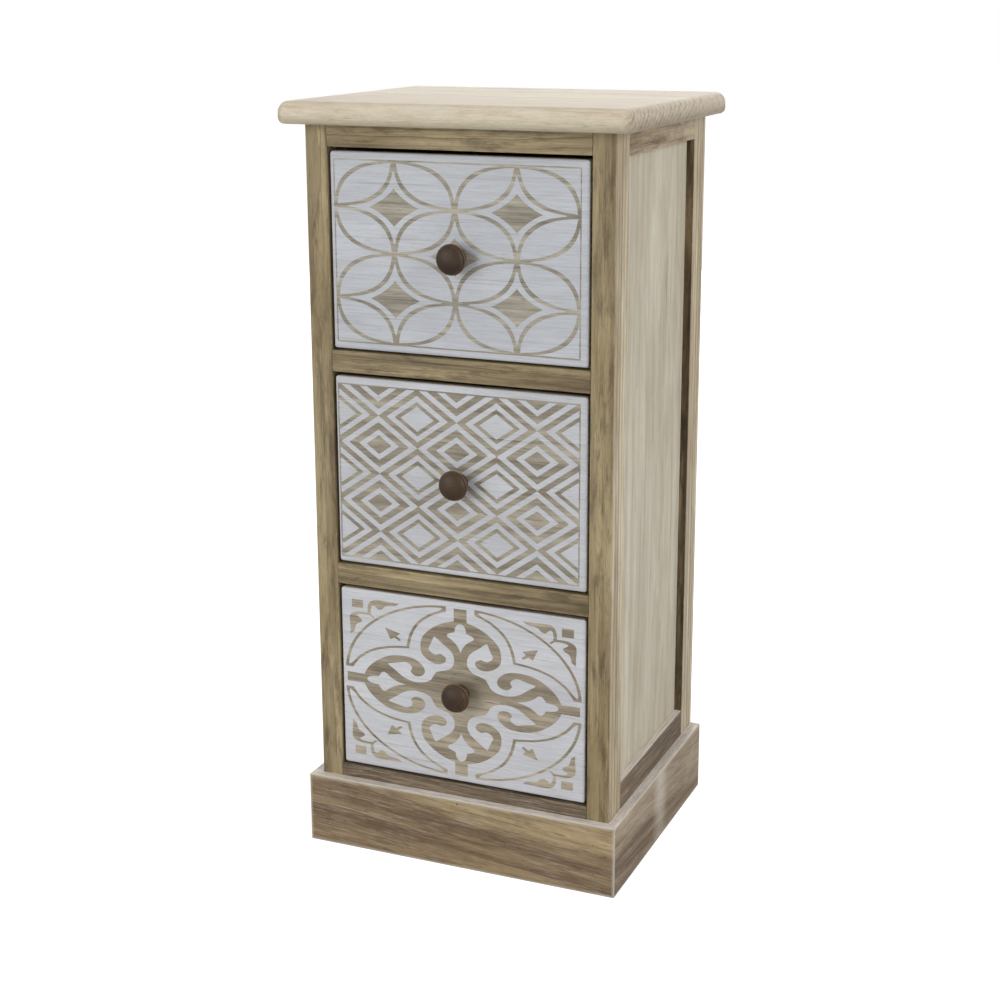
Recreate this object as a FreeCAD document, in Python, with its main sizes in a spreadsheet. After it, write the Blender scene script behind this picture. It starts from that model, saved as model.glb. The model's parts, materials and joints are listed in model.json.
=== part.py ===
import FreeCAD, Part
import math
import os
import Sketcher

# A narrow three-drawer nightstand in paulownia: a framed and panelled case on a plinth, with inset
# drawers on wooden runners. Millimetres. +Z is up, the drawers face -Y, and the origin is on the
# floor under the middle of the top board.

V = FreeCAD.Vector
doc = FreeCAD.newDocument("Nightstand")

# Driving sizes: name, value, what it measures
SIZES = (
    ("total_height", 640, "floor to the top surface"),
    ("top_width", 300, "top board, left to right"),
    ("top_depth", 252, "top board, front to back"),
    ("top_thickness", 18, "top board"),
    ("top_corner_radius", 10, "top board's corners seen from above"),
    ("top_upper_round", 9, "rounding of the top board's upper edge"),
    ("top_lower_round", 5, "rounding of the top board's lower edge"),
    ("front_overhang", 18.5, "top board past the case in front"),
    ("back_overhang", 5.5, "top board past the case behind"),
    ("side_overhang", 18, "top board past the case at each side"),
    ("post_width", 19, "posts and side rails, left to right"),
    ("post_depth", 30, "posts, front to back"),
    ("rail_height", 18, "front and rear rails"),
    ("rail_depth", 20, "front rails, front to back"),
    ("rear_rail_thickness", 12, "rear rails, front to back"),
    ("side_top_rail_height", 20, "side rails under the top board"),
    ("side_bottom_rail_height", 30, "side rails behind the plinth"),
    ("panel_recess", 7, "side panels behind the posts' outer faces"),
    ("panel_thickness", 4, "side panels and their groove"),
    ("groove_depth", 6, "grooves for the side panels"),
    ("groove_play", 1, "free space at the bottom of each groove"),
    ("back_thickness", 4, "back panel and its rabbet's depth"),
    ("back_rabbet_width", 8, "rabbet for the back panel in the rear posts"),
    ("back_play", 0.5, "back panel's side clearance in its rabbet"),
    ("runner_width", 12, "drawer runners, left to right"),
    ("runner_height", 16, "drawer runners"),
    ("plinth_height", 62, "plinth boards"),
    ("plinth_thickness", 9, "plinth boards, also the ledge round the case"),
    ("plinth_rail_lap", 7, "bottom rails below the plinth's upper edge"),
    ("drawer_front_thickness", 14, "drawer fronts"),
    ("drawer_front_recess", 1, "drawer fronts behind the rails' faces"),
    ("drawer_edge_round", 3, "rounding round the face of a drawer front"),
    ("drawer_side_gap", 2, "gap beside a drawer front"),
    ("drawer_gap_above", 3.2, "gap above a drawer front"),
    ("drawer_gap_below", 1.8, "gap below a drawer front"),
    ("drawer_side_height", 115, "drawer sides"),
    ("drawer_side_thickness", 8, "drawer sides"),
    ("drawer_back_thickness", 8, "drawer backs"),
    ("drawer_rabbet", 5, "drawer side let into the back of its front"),
    ("drawer_running_gap", 0.3, "drawer side above its runner"),
    ("drawer_stop_gap", 0.5, "shut drawer in front of the back panel"),
    ("drawer_bottom_thickness", 3, "drawer bottoms and their groove"),
    ("drawer_bottom_rise", 8, "drawer bottom above the side's lower edge"),
    ("drawer_groove_depth", 4, "grooves for the drawer bottoms"),
    ("drawer_groove_play", 0.5, "free space at the bottom of each groove"),
    ("knob_length", 19, "knob, front to back"),
    ("knob_head_diameter", 25, "knob's widest part"),
    ("knob_head_distance", 14, "knob's widest part from the drawer front"),
    ("knob_rim_radius", 4, "rounding of the knob's rim"),
    ("knob_cove_radius", 7, "hollow of the knob's neck"),
    ("knob_base_diameter", 16, "knob's foot"),
    ("knob_base_height", 1.5, "straight part of the knob's foot"),
    ("knob_screw_diameter", 4, "knob screw"),
    ("knob_screw_grip", 12, "knob screw inside the knob"),
    ("knob_screw_head_diameter", 8, "knob screw's pan head"),
    ("knob_screw_head_height", 2.5, "knob screw's pan head"),
    ("knob_screw_clearance", 0.3, "hole in the drawer front round the screw"),
    ("dowel_diameter", 6, "frame dowels"),
    ("dowel_length", 20, "frame dowels"),
    ("top_screw_diameter", 4, "screws that hold the top board"),
    ("top_screw_length", 30, "screws that hold the top board"),
    ("top_screw_head_diameter", 7.5, "their countersunk heads"),
    ("top_screw_head_height", 2.5, "their countersunk heads"),
    ("top_screw_inset", 33, "their distance from the posts"),
    ("nail_diameter", 1.6, "nails and brads"),
    ("nail_head_diameter", 3, "sunk nail heads"),
    ("nail_head_height", 1, "sunk nail heads"),
    ("back_nail_head_diameter", 4, "flat nail heads on the back panel"),
    ("back_nail_head_height", 0.8, "flat nail heads on the back panel"),
    ("back_nail_reach", 10, "back nails inside the posts and rails"),
    ("back_nail_inset", 24, "end nails from the back panel's ends"),
    ("back_nail_side", 50, "nails in the rear rails from the middle"),
    ("runner_nail_margin", 1, "wood left between a runner nail and the groove"),
    ("plinth_brad_reach", 14, "plinth brads inside the posts and rail"),
    ("plinth_brad_inset", 18, "plinth brads from the board's edges"),
    ("drawer_nail_length", 18, "nails of the drawer boxes"),
    ("drawer_nail_inset", 24, "drawer nails from the side's edges"),
    ("drawer_bottom_nail_side", 50, "drawer bottom's nails from the middle"),
)

# Places worked out from the sizes
PLACES = (
    ("case_right", "Sizes.top_width / 2 - Sizes.side_overhang"),
    ("case_front", "Sizes.front_overhang - Sizes.top_depth / 2"),
    ("case_back", "Sizes.top_depth / 2 - Sizes.back_overhang"),
    ("case_top", "Sizes.total_height - Sizes.top_thickness"),
    ("case_bottom", "Sizes.plinth_height - Sizes.plinth_rail_lap"),
    ("opening_right", "case_right - Sizes.post_width"),
    ("post_middle", "case_right - Sizes.post_width / 2"),
    ("opening_height", "(case_top - case_bottom - 4 * Sizes.rail_height) / 3"),
    ("drawer_pitch", "opening_height + Sizes.rail_height"),
    ("lower_floor", "case_bottom + Sizes.rail_height"),
    ("middle_floor", "lower_floor + drawer_pitch"),
    ("upper_floor", "middle_floor + drawer_pitch"),
    ("front_post_back", "case_front + Sizes.post_depth"),
    ("rear_post_front", "case_back - Sizes.post_depth"),
    ("rail_back", "case_front + Sizes.rail_depth"),
    ("rail_middle", "case_front + Sizes.rail_depth / 2"),
    ("back_panel_front", "case_back - Sizes.back_thickness"),
    ("back_panel_right", "opening_right + Sizes.back_rabbet_width - Sizes.back_play"),
    ("rear_rail_front", "back_panel_front - Sizes.rear_rail_thickness"),
    ("rear_rail_middle", "back_panel_front - Sizes.rear_rail_thickness / 2"),
    ("side_rail_low", "case_bottom + Sizes.side_bottom_rail_height"),
    ("side_rail_high", "case_top - Sizes.side_top_rail_height"),
    ("panel_outer", "case_right - Sizes.panel_recess"),
    ("panel_inner", "panel_outer - Sizes.panel_thickness"),
    ("panel_tongue", "Sizes.groove_depth - Sizes.groove_play"),
    ("plinth_right", "case_right + Sizes.plinth_thickness"),
    ("plinth_front", "case_front - Sizes.plinth_thickness"),
    ("runner_inner", "opening_right - Sizes.runner_width"),
    ("drawer_right", "opening_right - Sizes.drawer_side_gap"),
    ("drawer_inner", "drawer_right - Sizes.drawer_side_thickness"),
    ("drawer_face", "case_front + Sizes.drawer_front_recess"),
    ("drawer_front_back", "drawer_face + Sizes.drawer_front_thickness"),
    ("drawer_rear", "back_panel_front - Sizes.drawer_stop_gap"),
    ("drawer_back_front", "drawer_rear - Sizes.drawer_back_thickness"),
    ("drawer_back_middle", "drawer_rear - Sizes.drawer_back_thickness / 2"),
    ("drawer_rabbet_front", "drawer_front_back - Sizes.drawer_rabbet"),
    ("drawer_tongue", "Sizes.drawer_groove_depth - Sizes.drawer_groove_play"),
)


def fill_sheet(name, rows):
    """A spreadsheet with one aliased cell per row, and what the cell means beside it."""
    sheet = doc.addObject("Spreadsheet::Sheet", name)
    for number, (alias, content, meaning) in enumerate(rows, 1):
        sheet.set(f"A{number}", alias)
        sheet.set(f"B{number}", content)
        sheet.set(f"C{number}", meaning)
        sheet.setAlias(f"B{number}", alias)
    return sheet


sizes = fill_sheet("Sizes", [(name, str(value), meaning) for name, value, meaning in SIZES])
fill_sheet("Places", [(name, "=" + formula, "") for name, formula in PLACES])
doc.recompute()

SIDES = ("left", "right")
DRAWERS = ("lower", "middle", "upper")
TURNS = {
    "+X": FreeCAD.Rotation(V(0, 0, 1), V(1, 0, 0)),
    "-X": FreeCAD.Rotation(V(0, 0, 1), V(-1, 0, 0)),
    "+Y": FreeCAD.Rotation(V(0, 0, 1), V(0, 1, 0)),
    "-Y": FreeCAD.Rotation(V(0, 0, 1), V(0, -1, 0)),
    "+Z": FreeCAD.Rotation(),
}
subparts = []


def keep(solid, name):
    """Makes a finished solid, or a group of like solids, one of the nightstand's sub-parts."""
    solid.Label = name
    subparts.append(solid)
    return solid


def put(solid, x, y, z):
    """Ties a solid's place to expressions."""
    for axis, place in zip("xyz", (x, y, z)):
        solid.setExpression(f".Placement.Base.{axis}", place)


def board(name, x, y, z):
    """A squared board. Each direction is a pair of expressions, low and high."""
    blank = doc.addObject("Part::Box", name + "_board")
    for size, (low, high) in zip(("Length", "Width", "Height"), (x, y, z)):
        blank.setExpression(size, f"{high} - ({low})")
    put(blank, x[0], y[0], z[0])
    return blank


def cut(solid, *tools):
    """The solid with each tool's shape taken out of it."""
    for tool in tools:
        result = doc.addObject("Part::Cut", solid.Name + "_cut")
        result.Base = solid
        result.Tool = tool
        solid = result
    return solid


def across(side, inner, outer):
    """The left-to-right pair of a piece on one side, from its inner and outer distances."""
    return (inner, outer) if side == "right" else (f"-({outer})", f"-({inner})")


def on_side(side, distance):
    """A left-to-right place on one side."""
    return distance if side == "right" else f"-({distance})"


def outward(side):
    """The direction from the middle to one side."""
    return "+X" if side == "right" else "-X"


def group(name, solids):
    """Like solids as one sub-part."""
    compound = doc.addObject("Part::Compound", name + "_group")
    compound.Links = solids
    return keep(compound, name)


def rod(name, turn, place, diameter, length):
    """A plain round rod that starts at a place and points one way."""
    solid = doc.addObject("Part::Cylinder", name)
    solid.Placement = FreeCAD.Placement(V(), TURNS[turn])
    solid.setExpression("Radius", f"{diameter} / 2")
    solid.setExpression("Height", length)
    put(solid, *place)
    return solid


def nail(name, turn, place, length, head="nail_head"):
    """A nail or screw with a flat head, from the outer face of its head."""
    shank = "Sizes.knob_screw_diameter" if head == "knob_screw_head" else "Sizes.nail_diameter"
    fused = doc.addObject("Part::Fuse", name)
    fused.Base = rod(name + "_head", turn, place, f"Sizes.{head}_diameter", f"Sizes.{head}_height")
    fused.Tool = rod(name + "_shank", turn, place, shank, length)
    return fused


def origin_plane(body, role):
    """One of a body's own three planes."""
    return next(plane for plane in body.Origin.OriginFeatures if plane.Role == role)


def attached_sketch(body, name, role):
    """A sketch on one of its own body's origin planes."""
    sketch = body.newObject("Sketcher::SketchObject", name)
    sketch.AttachmentSupport = [(origin_plane(body, role), "")]
    sketch.MapMode = "FlatFace"
    return sketch


def bound(sketch, name, expression, kind, *places):
    """A sketch dimension tied to an expression."""
    value = float(sizes.evalExpression(expression))
    row = sketch.addConstraint(Sketcher.Constraint(kind, *places, value))
    sketch.renameConstraint(row, name)
    sketch.setExpression(f"Constraints.{name}", expression)


def padded_outline(name, role, corners, thickness):
    """A body padded from a closed outline of straight edges. Each corner is a pair of expressions."""
    body = doc.addObject("PartDesign::Body", name + "_body")
    sketch = attached_sketch(body, name + "_outline", role)
    spots = [V(*(float(sizes.evalExpression(place)) for place in corner), 0) for corner in corners]
    for start, end in zip(spots, spots[1:] + spots[:1]):
        sketch.addGeometry(Part.LineSegment(start, end))
    last = len(corners) - 1
    for edge, (x, y) in enumerate(corners):
        sketch.addConstraint(Sketcher.Constraint("Coincident", edge - 1 if edge else last, 2, edge, 1))
        bound(sketch, f"x{edge}", x, "DistanceX", -1, 1, edge, 1)
        bound(sketch, f"y{edge}", y, "DistanceY", -1, 1, edge, 1)
    pad = body.newObject("PartDesign::Pad", name + "_pad")
    pad.Profile = sketch
    pad.setExpression("Length", thickness)
    doc.recompute()
    return body, pad


def rectangle(half_across, low, high):
    """The corners of a rectangle centred left to right."""
    left = f"-({half_across})"
    return ((left, low), (half_across, low), (half_across, high), (left, high))


def is_upright(points):
    """True for an edge that runs straight up."""
    return (points[0] - points[-1]).cross(V(0, 0, 1)).Length < 1e-6


def lies_at(axis, level):
    """A test for edges that lie in one plane across an axis."""
    return lambda points: all(abs(getattr(point, axis) - level) < 1e-6 for point in points)


def rounded(body, feature, wanted, radius):
    """Rounds the edges of a feature whose end points pass a test."""
    names = []
    for number, edge in enumerate(feature.Shape.Edges, 1):
        if wanted([vertex.Point for vertex in edge.Vertexes]):
            names.append(f"Edge{number}")
    fillet = body.newObject("PartDesign::Fillet", body.Name + "_round")
    fillet.Base = (feature, names)
    fillet.setExpression("Radius", radius)
    doc.recompute()
    return fillet


def arc_about(centre, start, end):
    """An arc that runs anticlockwise round its centre."""
    first, last = (math.atan2(spot.y - centre.y, spot.x - centre.x) for spot in (start, end))
    if last < first:
        last += 2 * math.pi
    return Part.ArcOfCircle(Part.Circle(centre, V(0, 0, 1), (start - centre).Length), first, last)


def turned_knob(name):
    """A mushroom knob, turned about its own Z axis: foot, hollow neck, rounded rim and low dome."""
    foot = V(sizes.knob_base_diameter / 2, 0, 0)
    foot_top = foot + V(0, sizes.knob_base_height, 0)
    tip = V(0, sizes.knob_length, 0)
    rim_radius = sizes.knob_rim_radius
    cove = sizes.knob_cove_radius
    rim = V(sizes.knob_head_diameter / 2 - rim_radius, sizes.knob_head_distance, 0)

    # The hollow starts at the foot and runs smoothly into the rim
    line = rim - foot_top
    along = (cove**2 - (cove + rim_radius) ** 2 + line.Length**2) / (2 * line.Length)
    aside = math.sqrt(cove**2 - along**2)
    line.normalize()
    hollow = foot_top + line * along + V(line.y, -line.x, 0) * aside
    under = rim + (hollow - rim).normalize() * rim_radius

    # The dome runs smoothly into the rim and is level at the tip
    rise = tip.y - rim.y
    dome_radius = (rim.x**2 + rise**2 - rim_radius**2) / (2 * (rise - rim_radius))
    dome = tip - V(0, dome_radius, 0)
    shoulder = rim + (rim - dome).normalize() * rim_radius

    body = doc.addObject("PartDesign::Body", name + "_body")
    sketch = attached_sketch(body, name + "_profile", "XZ_Plane")
    sketch.addGeometry(Part.LineSegment(V(), foot))
    sketch.addGeometry(Part.LineSegment(foot, foot_top))
    sketch.addGeometry(arc_about(hollow, under, foot_top))
    sketch.addGeometry(arc_about(rim, under, shoulder))
    sketch.addGeometry(arc_about(dome, shoulder, tip))
    sketch.addGeometry(Part.LineSegment(tip, V()))
    for kind, *places in (
        ("Coincident", 0, 1, -1, 1),
        ("Coincident", 0, 2, 1, 1),
        ("Coincident", 1, 2, 2, 2),
        ("Tangent", 2, 1, 3, 1),
        ("Tangent", 3, 2, 4, 1),
        ("Coincident", 4, 2, 5, 1),
        ("Coincident", 5, 2, 0, 1),
        ("Horizontal", 0),
        ("Vertical", 1),
        ("Vertical", 5),
        ("PointOnObject", 4, 3, -2),
    ):
        sketch.addConstraint(Sketcher.Constraint(kind, *places))
    bound(sketch, "foot", "Sizes.knob_base_diameter / 2", "DistanceX", 0, 1, 0, 2)
    bound(sketch, "foot_height", "Sizes.knob_base_height", "DistanceY", 1, 1, 1, 2)
    bound(sketch, "cove", "Sizes.knob_cove_radius", "Radius", 2)
    bound(sketch, "rim", "Sizes.knob_rim_radius", "Radius", 3)
    rim_place = "Sizes.knob_head_diameter / 2 - Sizes.knob_rim_radius"
    bound(sketch, "rim_out", rim_place, "DistanceX", -1, 1, 3, 3)
    bound(sketch, "rim_height", "Sizes.knob_head_distance", "DistanceY", -1, 1, 3, 3)
    bound(sketch, "knob_length", "Sizes.knob_length", "DistanceY", -1, 1, 5, 1)
    turning = body.newObject("PartDesign::Revolution", name + "_turning")
    turning.Profile = sketch
    turning.ReferenceAxis = (sketch, ["V_Axis"])
    turning.Angle = 360
    body.Placement = FreeCAD.Placement(V(), TURNS["-Y"])
    return body


def panel_board(name, side, reach):
    """A board that reaches past the side frame's opening by the same amount on all four edges."""
    return board(
        name,
        across(side, "Places.panel_inner", "Places.panel_outer"),
        (f"Places.front_post_back - {reach}", f"Places.rear_post_front + {reach}"),
        (f"Places.side_rail_low - {reach}", f"Places.side_rail_high + {reach}"),
    )


# The panels first, because the frame's grooves and rabbets are cut to them
slots = {}
for side in SIDES:
    slots[side] = panel_board(side + "_slot", side, "Sizes.groove_depth")
    keep(panel_board(side + "_panel", side, "Places.panel_tongue"), side + "_panel")
back_blank = board(
    "back_panel",
    ("-Places.back_panel_right", "Places.back_panel_right"),
    ("Places.back_panel_front", "Places.case_back"),
    ("Places.case_bottom", "Places.case_top"),
)
back_rabbet = board(
    "back_rabbet",
    ("-Places.back_panel_right - Sizes.back_play", "Places.back_panel_right + Sizes.back_play"),
    ("Places.back_panel_front", "Places.case_back"),
    ("Places.case_bottom", "Places.case_top"),
)

# Front rails, rear rails and side rails: name, lowest and highest level
front_rails = {"front_bottom_rail": "Places.case_bottom"}
for name, floor in (("front_lower_divider", "middle"), ("front_upper_divider", "upper")):
    front_rails[name] = f"Places.{floor}_floor - Sizes.rail_height"
front_rails["front_top_rail"] = "Places.case_top - Sizes.rail_height"
rear_rails = {
    "rear_bottom_rail": "Places.case_bottom",
    "rear_top_rail": "Places.case_top - Sizes.rail_height",
}
side_rails = {
    "bottom": ("Places.case_bottom", "Places.side_rail_low"),
    "top": ("Places.side_rail_high", "Places.case_top"),
}

# Dowels: one at each end of every rail, half in the rail and half in the post
dowels = []
for side in SIDES:
    start = on_side(side, "(Places.opening_right - Sizes.dowel_length / 2)")
    rails = [(low, "Places.rail_middle") for low in front_rails.values()]
    rails += [(low, "Places.rear_rail_middle") for low in rear_rails.values()]
    for low, middle in rails:
        place = (start, middle, f"{low} + Sizes.rail_height / 2")
        dowels.append(rod("dowel", outward(side), place, "Sizes.dowel_diameter", "Sizes.dowel_length"))
    for low, high in side_rails.values():
        for end in ("Places.front_post_back", "Places.rear_post_front"):
            level = f"({low} + {high}) / 2"
            place = (on_side(side, "Places.post_middle"), f"{end} - Sizes.dowel_length / 2", level)
            dowels.append(rod("dowel", "+Y", place, "Sizes.dowel_diameter", "Sizes.dowel_length"))
frame_dowels = group("frame_dowels", dowels)

# Screws up through the top rails into the top board
screws = []
for side in SIDES:
    for middle in ("Places.rail_middle", "Places.rear_rail_middle"):
        place = (
            on_side(side, "(Places.opening_right - Sizes.top_screw_inset)"),
            middle,
            "Places.case_top - Sizes.rail_height",
        )
        head = doc.addObject("Part::Cone", "top_screw_head")
        head.setExpression("Radius1", "Sizes.top_screw_head_diameter / 2")
        head.setExpression("Radius2", "Sizes.top_screw_diameter / 2")
        head.setExpression("Height", "Sizes.top_screw_head_height")
        put(head, *place)
        screw = doc.addObject("Part::Fuse", "top_screw")
        screw.Base = head
        screw.Tool = rod("shank", "+Z", place, "Sizes.top_screw_diameter", "Sizes.top_screw_length")
        screws.append(screw)
top_screws = group("top_screws", screws)

# Nails that hold the runners, one into a front post and one into a rear post
nails = []
runner_nail_length = "Places.panel_inner - Places.runner_inner - Sizes.runner_nail_margin"
for side in SIDES:
    for floor in DRAWERS:
        for near, far in (
            ("Places.rail_back", "Places.front_post_back"),
            ("Places.rear_post_front", "Places.rear_rail_front"),
        ):
            place = (
                on_side(side, "Places.runner_inner"),
                f"({near} + {far}) / 2",
                f"Places.{floor}_floor - Sizes.runner_height / 2",
            )
            nails.append(nail("runner_nail", outward(side), place, runner_nail_length))
runner_nails = group("runner_nails", nails)

# Flat-headed nails through the back panel into the rear posts and the rear rails
nails = []
back_nail_start = "Places.case_back + Sizes.back_nail_head_height"
back_nail_length = "Sizes.back_nail_head_height + Sizes.back_thickness + Sizes.back_nail_reach"
back_nail_spots = []
for side in SIDES:
    for step in range(5):
        level = (
            "Places.case_bottom + Sizes.back_nail_inset + (Places.case_top - Places.case_bottom"
            f" - 2 * Sizes.back_nail_inset) * {step} / 4"
        )
        edge = "(Places.opening_right + Sizes.back_rabbet_width / 2)"
        back_nail_spots.append((on_side(side, edge), level))
    for low in rear_rails.values():
        back_nail_spots.append((on_side(side, "Sizes.back_nail_side"), f"{low} + Sizes.rail_height / 2"))
for x, z in back_nail_spots:
    place = (x, back_nail_start, z)
    nails.append(nail("back_nail", "-Y", place, back_nail_length, "back_nail_head"))
back_nails = group("back_nails", nails)

# Brads through the plinth: one into the bottom rail and the rest into the posts
brads = []
brad_length = "Sizes.plinth_thickness + Sizes.plinth_brad_reach"
rail_level = "Sizes.plinth_height - Sizes.plinth_rail_lap / 2"
brads.append(nail("brad", "+Y", ("0", "Places.plinth_front", rail_level), brad_length))
post_levels = ("Sizes.plinth_brad_inset", "Sizes.plinth_height - Sizes.plinth_brad_inset")
for side in SIDES:
    inward = "-X" if side == "right" else "+X"
    for level in post_levels:
        place = (on_side(side, "Places.post_middle"), "Places.plinth_front", level)
        brads.append(nail("brad", "+Y", place, brad_length))
    front_post_spot = "Places.front_post_back - Sizes.post_depth / 4"
    rear_post_spot = "Places.rear_post_front + Sizes.post_depth / 2"
    for y in (front_post_spot, rear_post_spot):
        place = (on_side(side, "Places.plinth_right"), y, "Sizes.plinth_height / 2")
        brads.append(nail("brad", inward, place, brad_length))
plinth_brads = group("plinth_brads", brads)

# The frame
for side in SIDES:
    post_across = across(side, "Places.opening_right", "Places.case_right")
    front_post = board(
        f"front_{side}_post",
        post_across,
        ("Places.case_front", "Places.front_post_back"),
        ("0", "Places.case_top"),
    )
    rear_post = board(
        f"rear_{side}_post",
        post_across,
        ("Places.rear_post_front", "Places.case_back"),
        ("0", "Places.case_top"),
    )
    front_tools = (slots[side], frame_dowels, runner_nails, plinth_brads)
    rear_tools = (slots[side], back_rabbet, frame_dowels, runner_nails, back_nails, plinth_brads)
    keep(cut(front_post, *front_tools), f"front_{side}_post")
    keep(cut(rear_post, *rear_tools), f"rear_{side}_post")
    for level, heights in side_rails.items():
        rail = board(
            f"{side}_{level}_rail",
            post_across,
            ("Places.front_post_back", "Places.rear_post_front"),
            heights,
        )
        keep(cut(rail, slots[side], frame_dowels), f"{side}_{level}_rail")

opening_across = ("-Places.opening_right", "Places.opening_right")
for name, low in front_rails.items():
    rail = board(
        name,
        opening_across,
        ("Places.case_front", "Places.rail_back"),
        (low, f"({low} + Sizes.rail_height)"),
    )
    tools = [frame_dowels]
    if name == "front_top_rail":
        tools.append(top_screws)
    if name == "front_bottom_rail":
        tools.append(plinth_brads)
    keep(cut(rail, *tools), name)
for name, low in rear_rails.items():
    rail = board(
        name,
        opening_across,
        ("Places.rear_rail_front", "Places.back_panel_front"),
        (low, f"({low} + Sizes.rail_height)"),
    )
    tools = [frame_dowels, back_nails]
    if name == "rear_top_rail":
        tools.append(top_screws)
    keep(cut(rail, *tools), name)
keep(cut(back_blank, back_nails), "back_panel")

# Runners under the drawers' sides, level with the front rails
for floor in DRAWERS:
    for side in SIDES:
        name = f"{floor}_{side}_runner"
        runner = board(
            name,
            across(side, "Places.runner_inner", "Places.opening_right"),
            ("Places.rail_back", "Places.rear_rail_front"),
            (f"Places.{floor}_floor - Sizes.runner_height", f"Places.{floor}_floor"),
        )
        keep(cut(runner, runner_nails), name)

# Plinth boards, mitred where they meet at the front corners
front_corners = (
    ("-Places.plinth_right", "Places.plinth_front"),
    ("Places.plinth_right", "Places.plinth_front"),
    ("Places.case_right", "Places.case_front"),
    ("-Places.case_right", "Places.case_front"),
)
blank, _ = padded_outline("plinth_front", "XY_Plane", front_corners, "Sizes.plinth_height")
keep(cut(blank, plinth_brads), "plinth_front")
for side in SIDES:
    side_corners = (
        (on_side(side, "Places.case_right"), "Places.case_front"),
        (on_side(side, "Places.plinth_right"), "Places.plinth_front"),
        (on_side(side, "Places.plinth_right"), "Places.case_back"),
        (on_side(side, "Places.case_right"), "Places.case_back"),
    )
    blank, _ = padded_outline(f"plinth_{side}", "XY_Plane", side_corners, "Sizes.plinth_height")
    keep(cut(blank, plinth_brads), f"plinth_{side}")

# The top board: rounded corners, a large rounding above and a small one below
top_corners = rectangle("Sizes.top_width / 2", "-Sizes.top_depth / 2", "Sizes.top_depth / 2")
top_body, top_pad = padded_outline("top_board", "XY_Plane", top_corners, "Sizes.top_thickness")
corners_round = rounded(top_body, top_pad, is_upright, "Sizes.top_corner_radius")
upper_edge = lies_at("z", sizes.top_thickness)
upper_round = rounded(top_body, corners_round, upper_edge, "Sizes.top_upper_round")
rounded(top_body, upper_round, lies_at("z", 0), "Sizes.top_lower_round")
put(top_body, "0", "0", "Places.case_top")
keep(cut(top_body, top_screws), "top_board")

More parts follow.
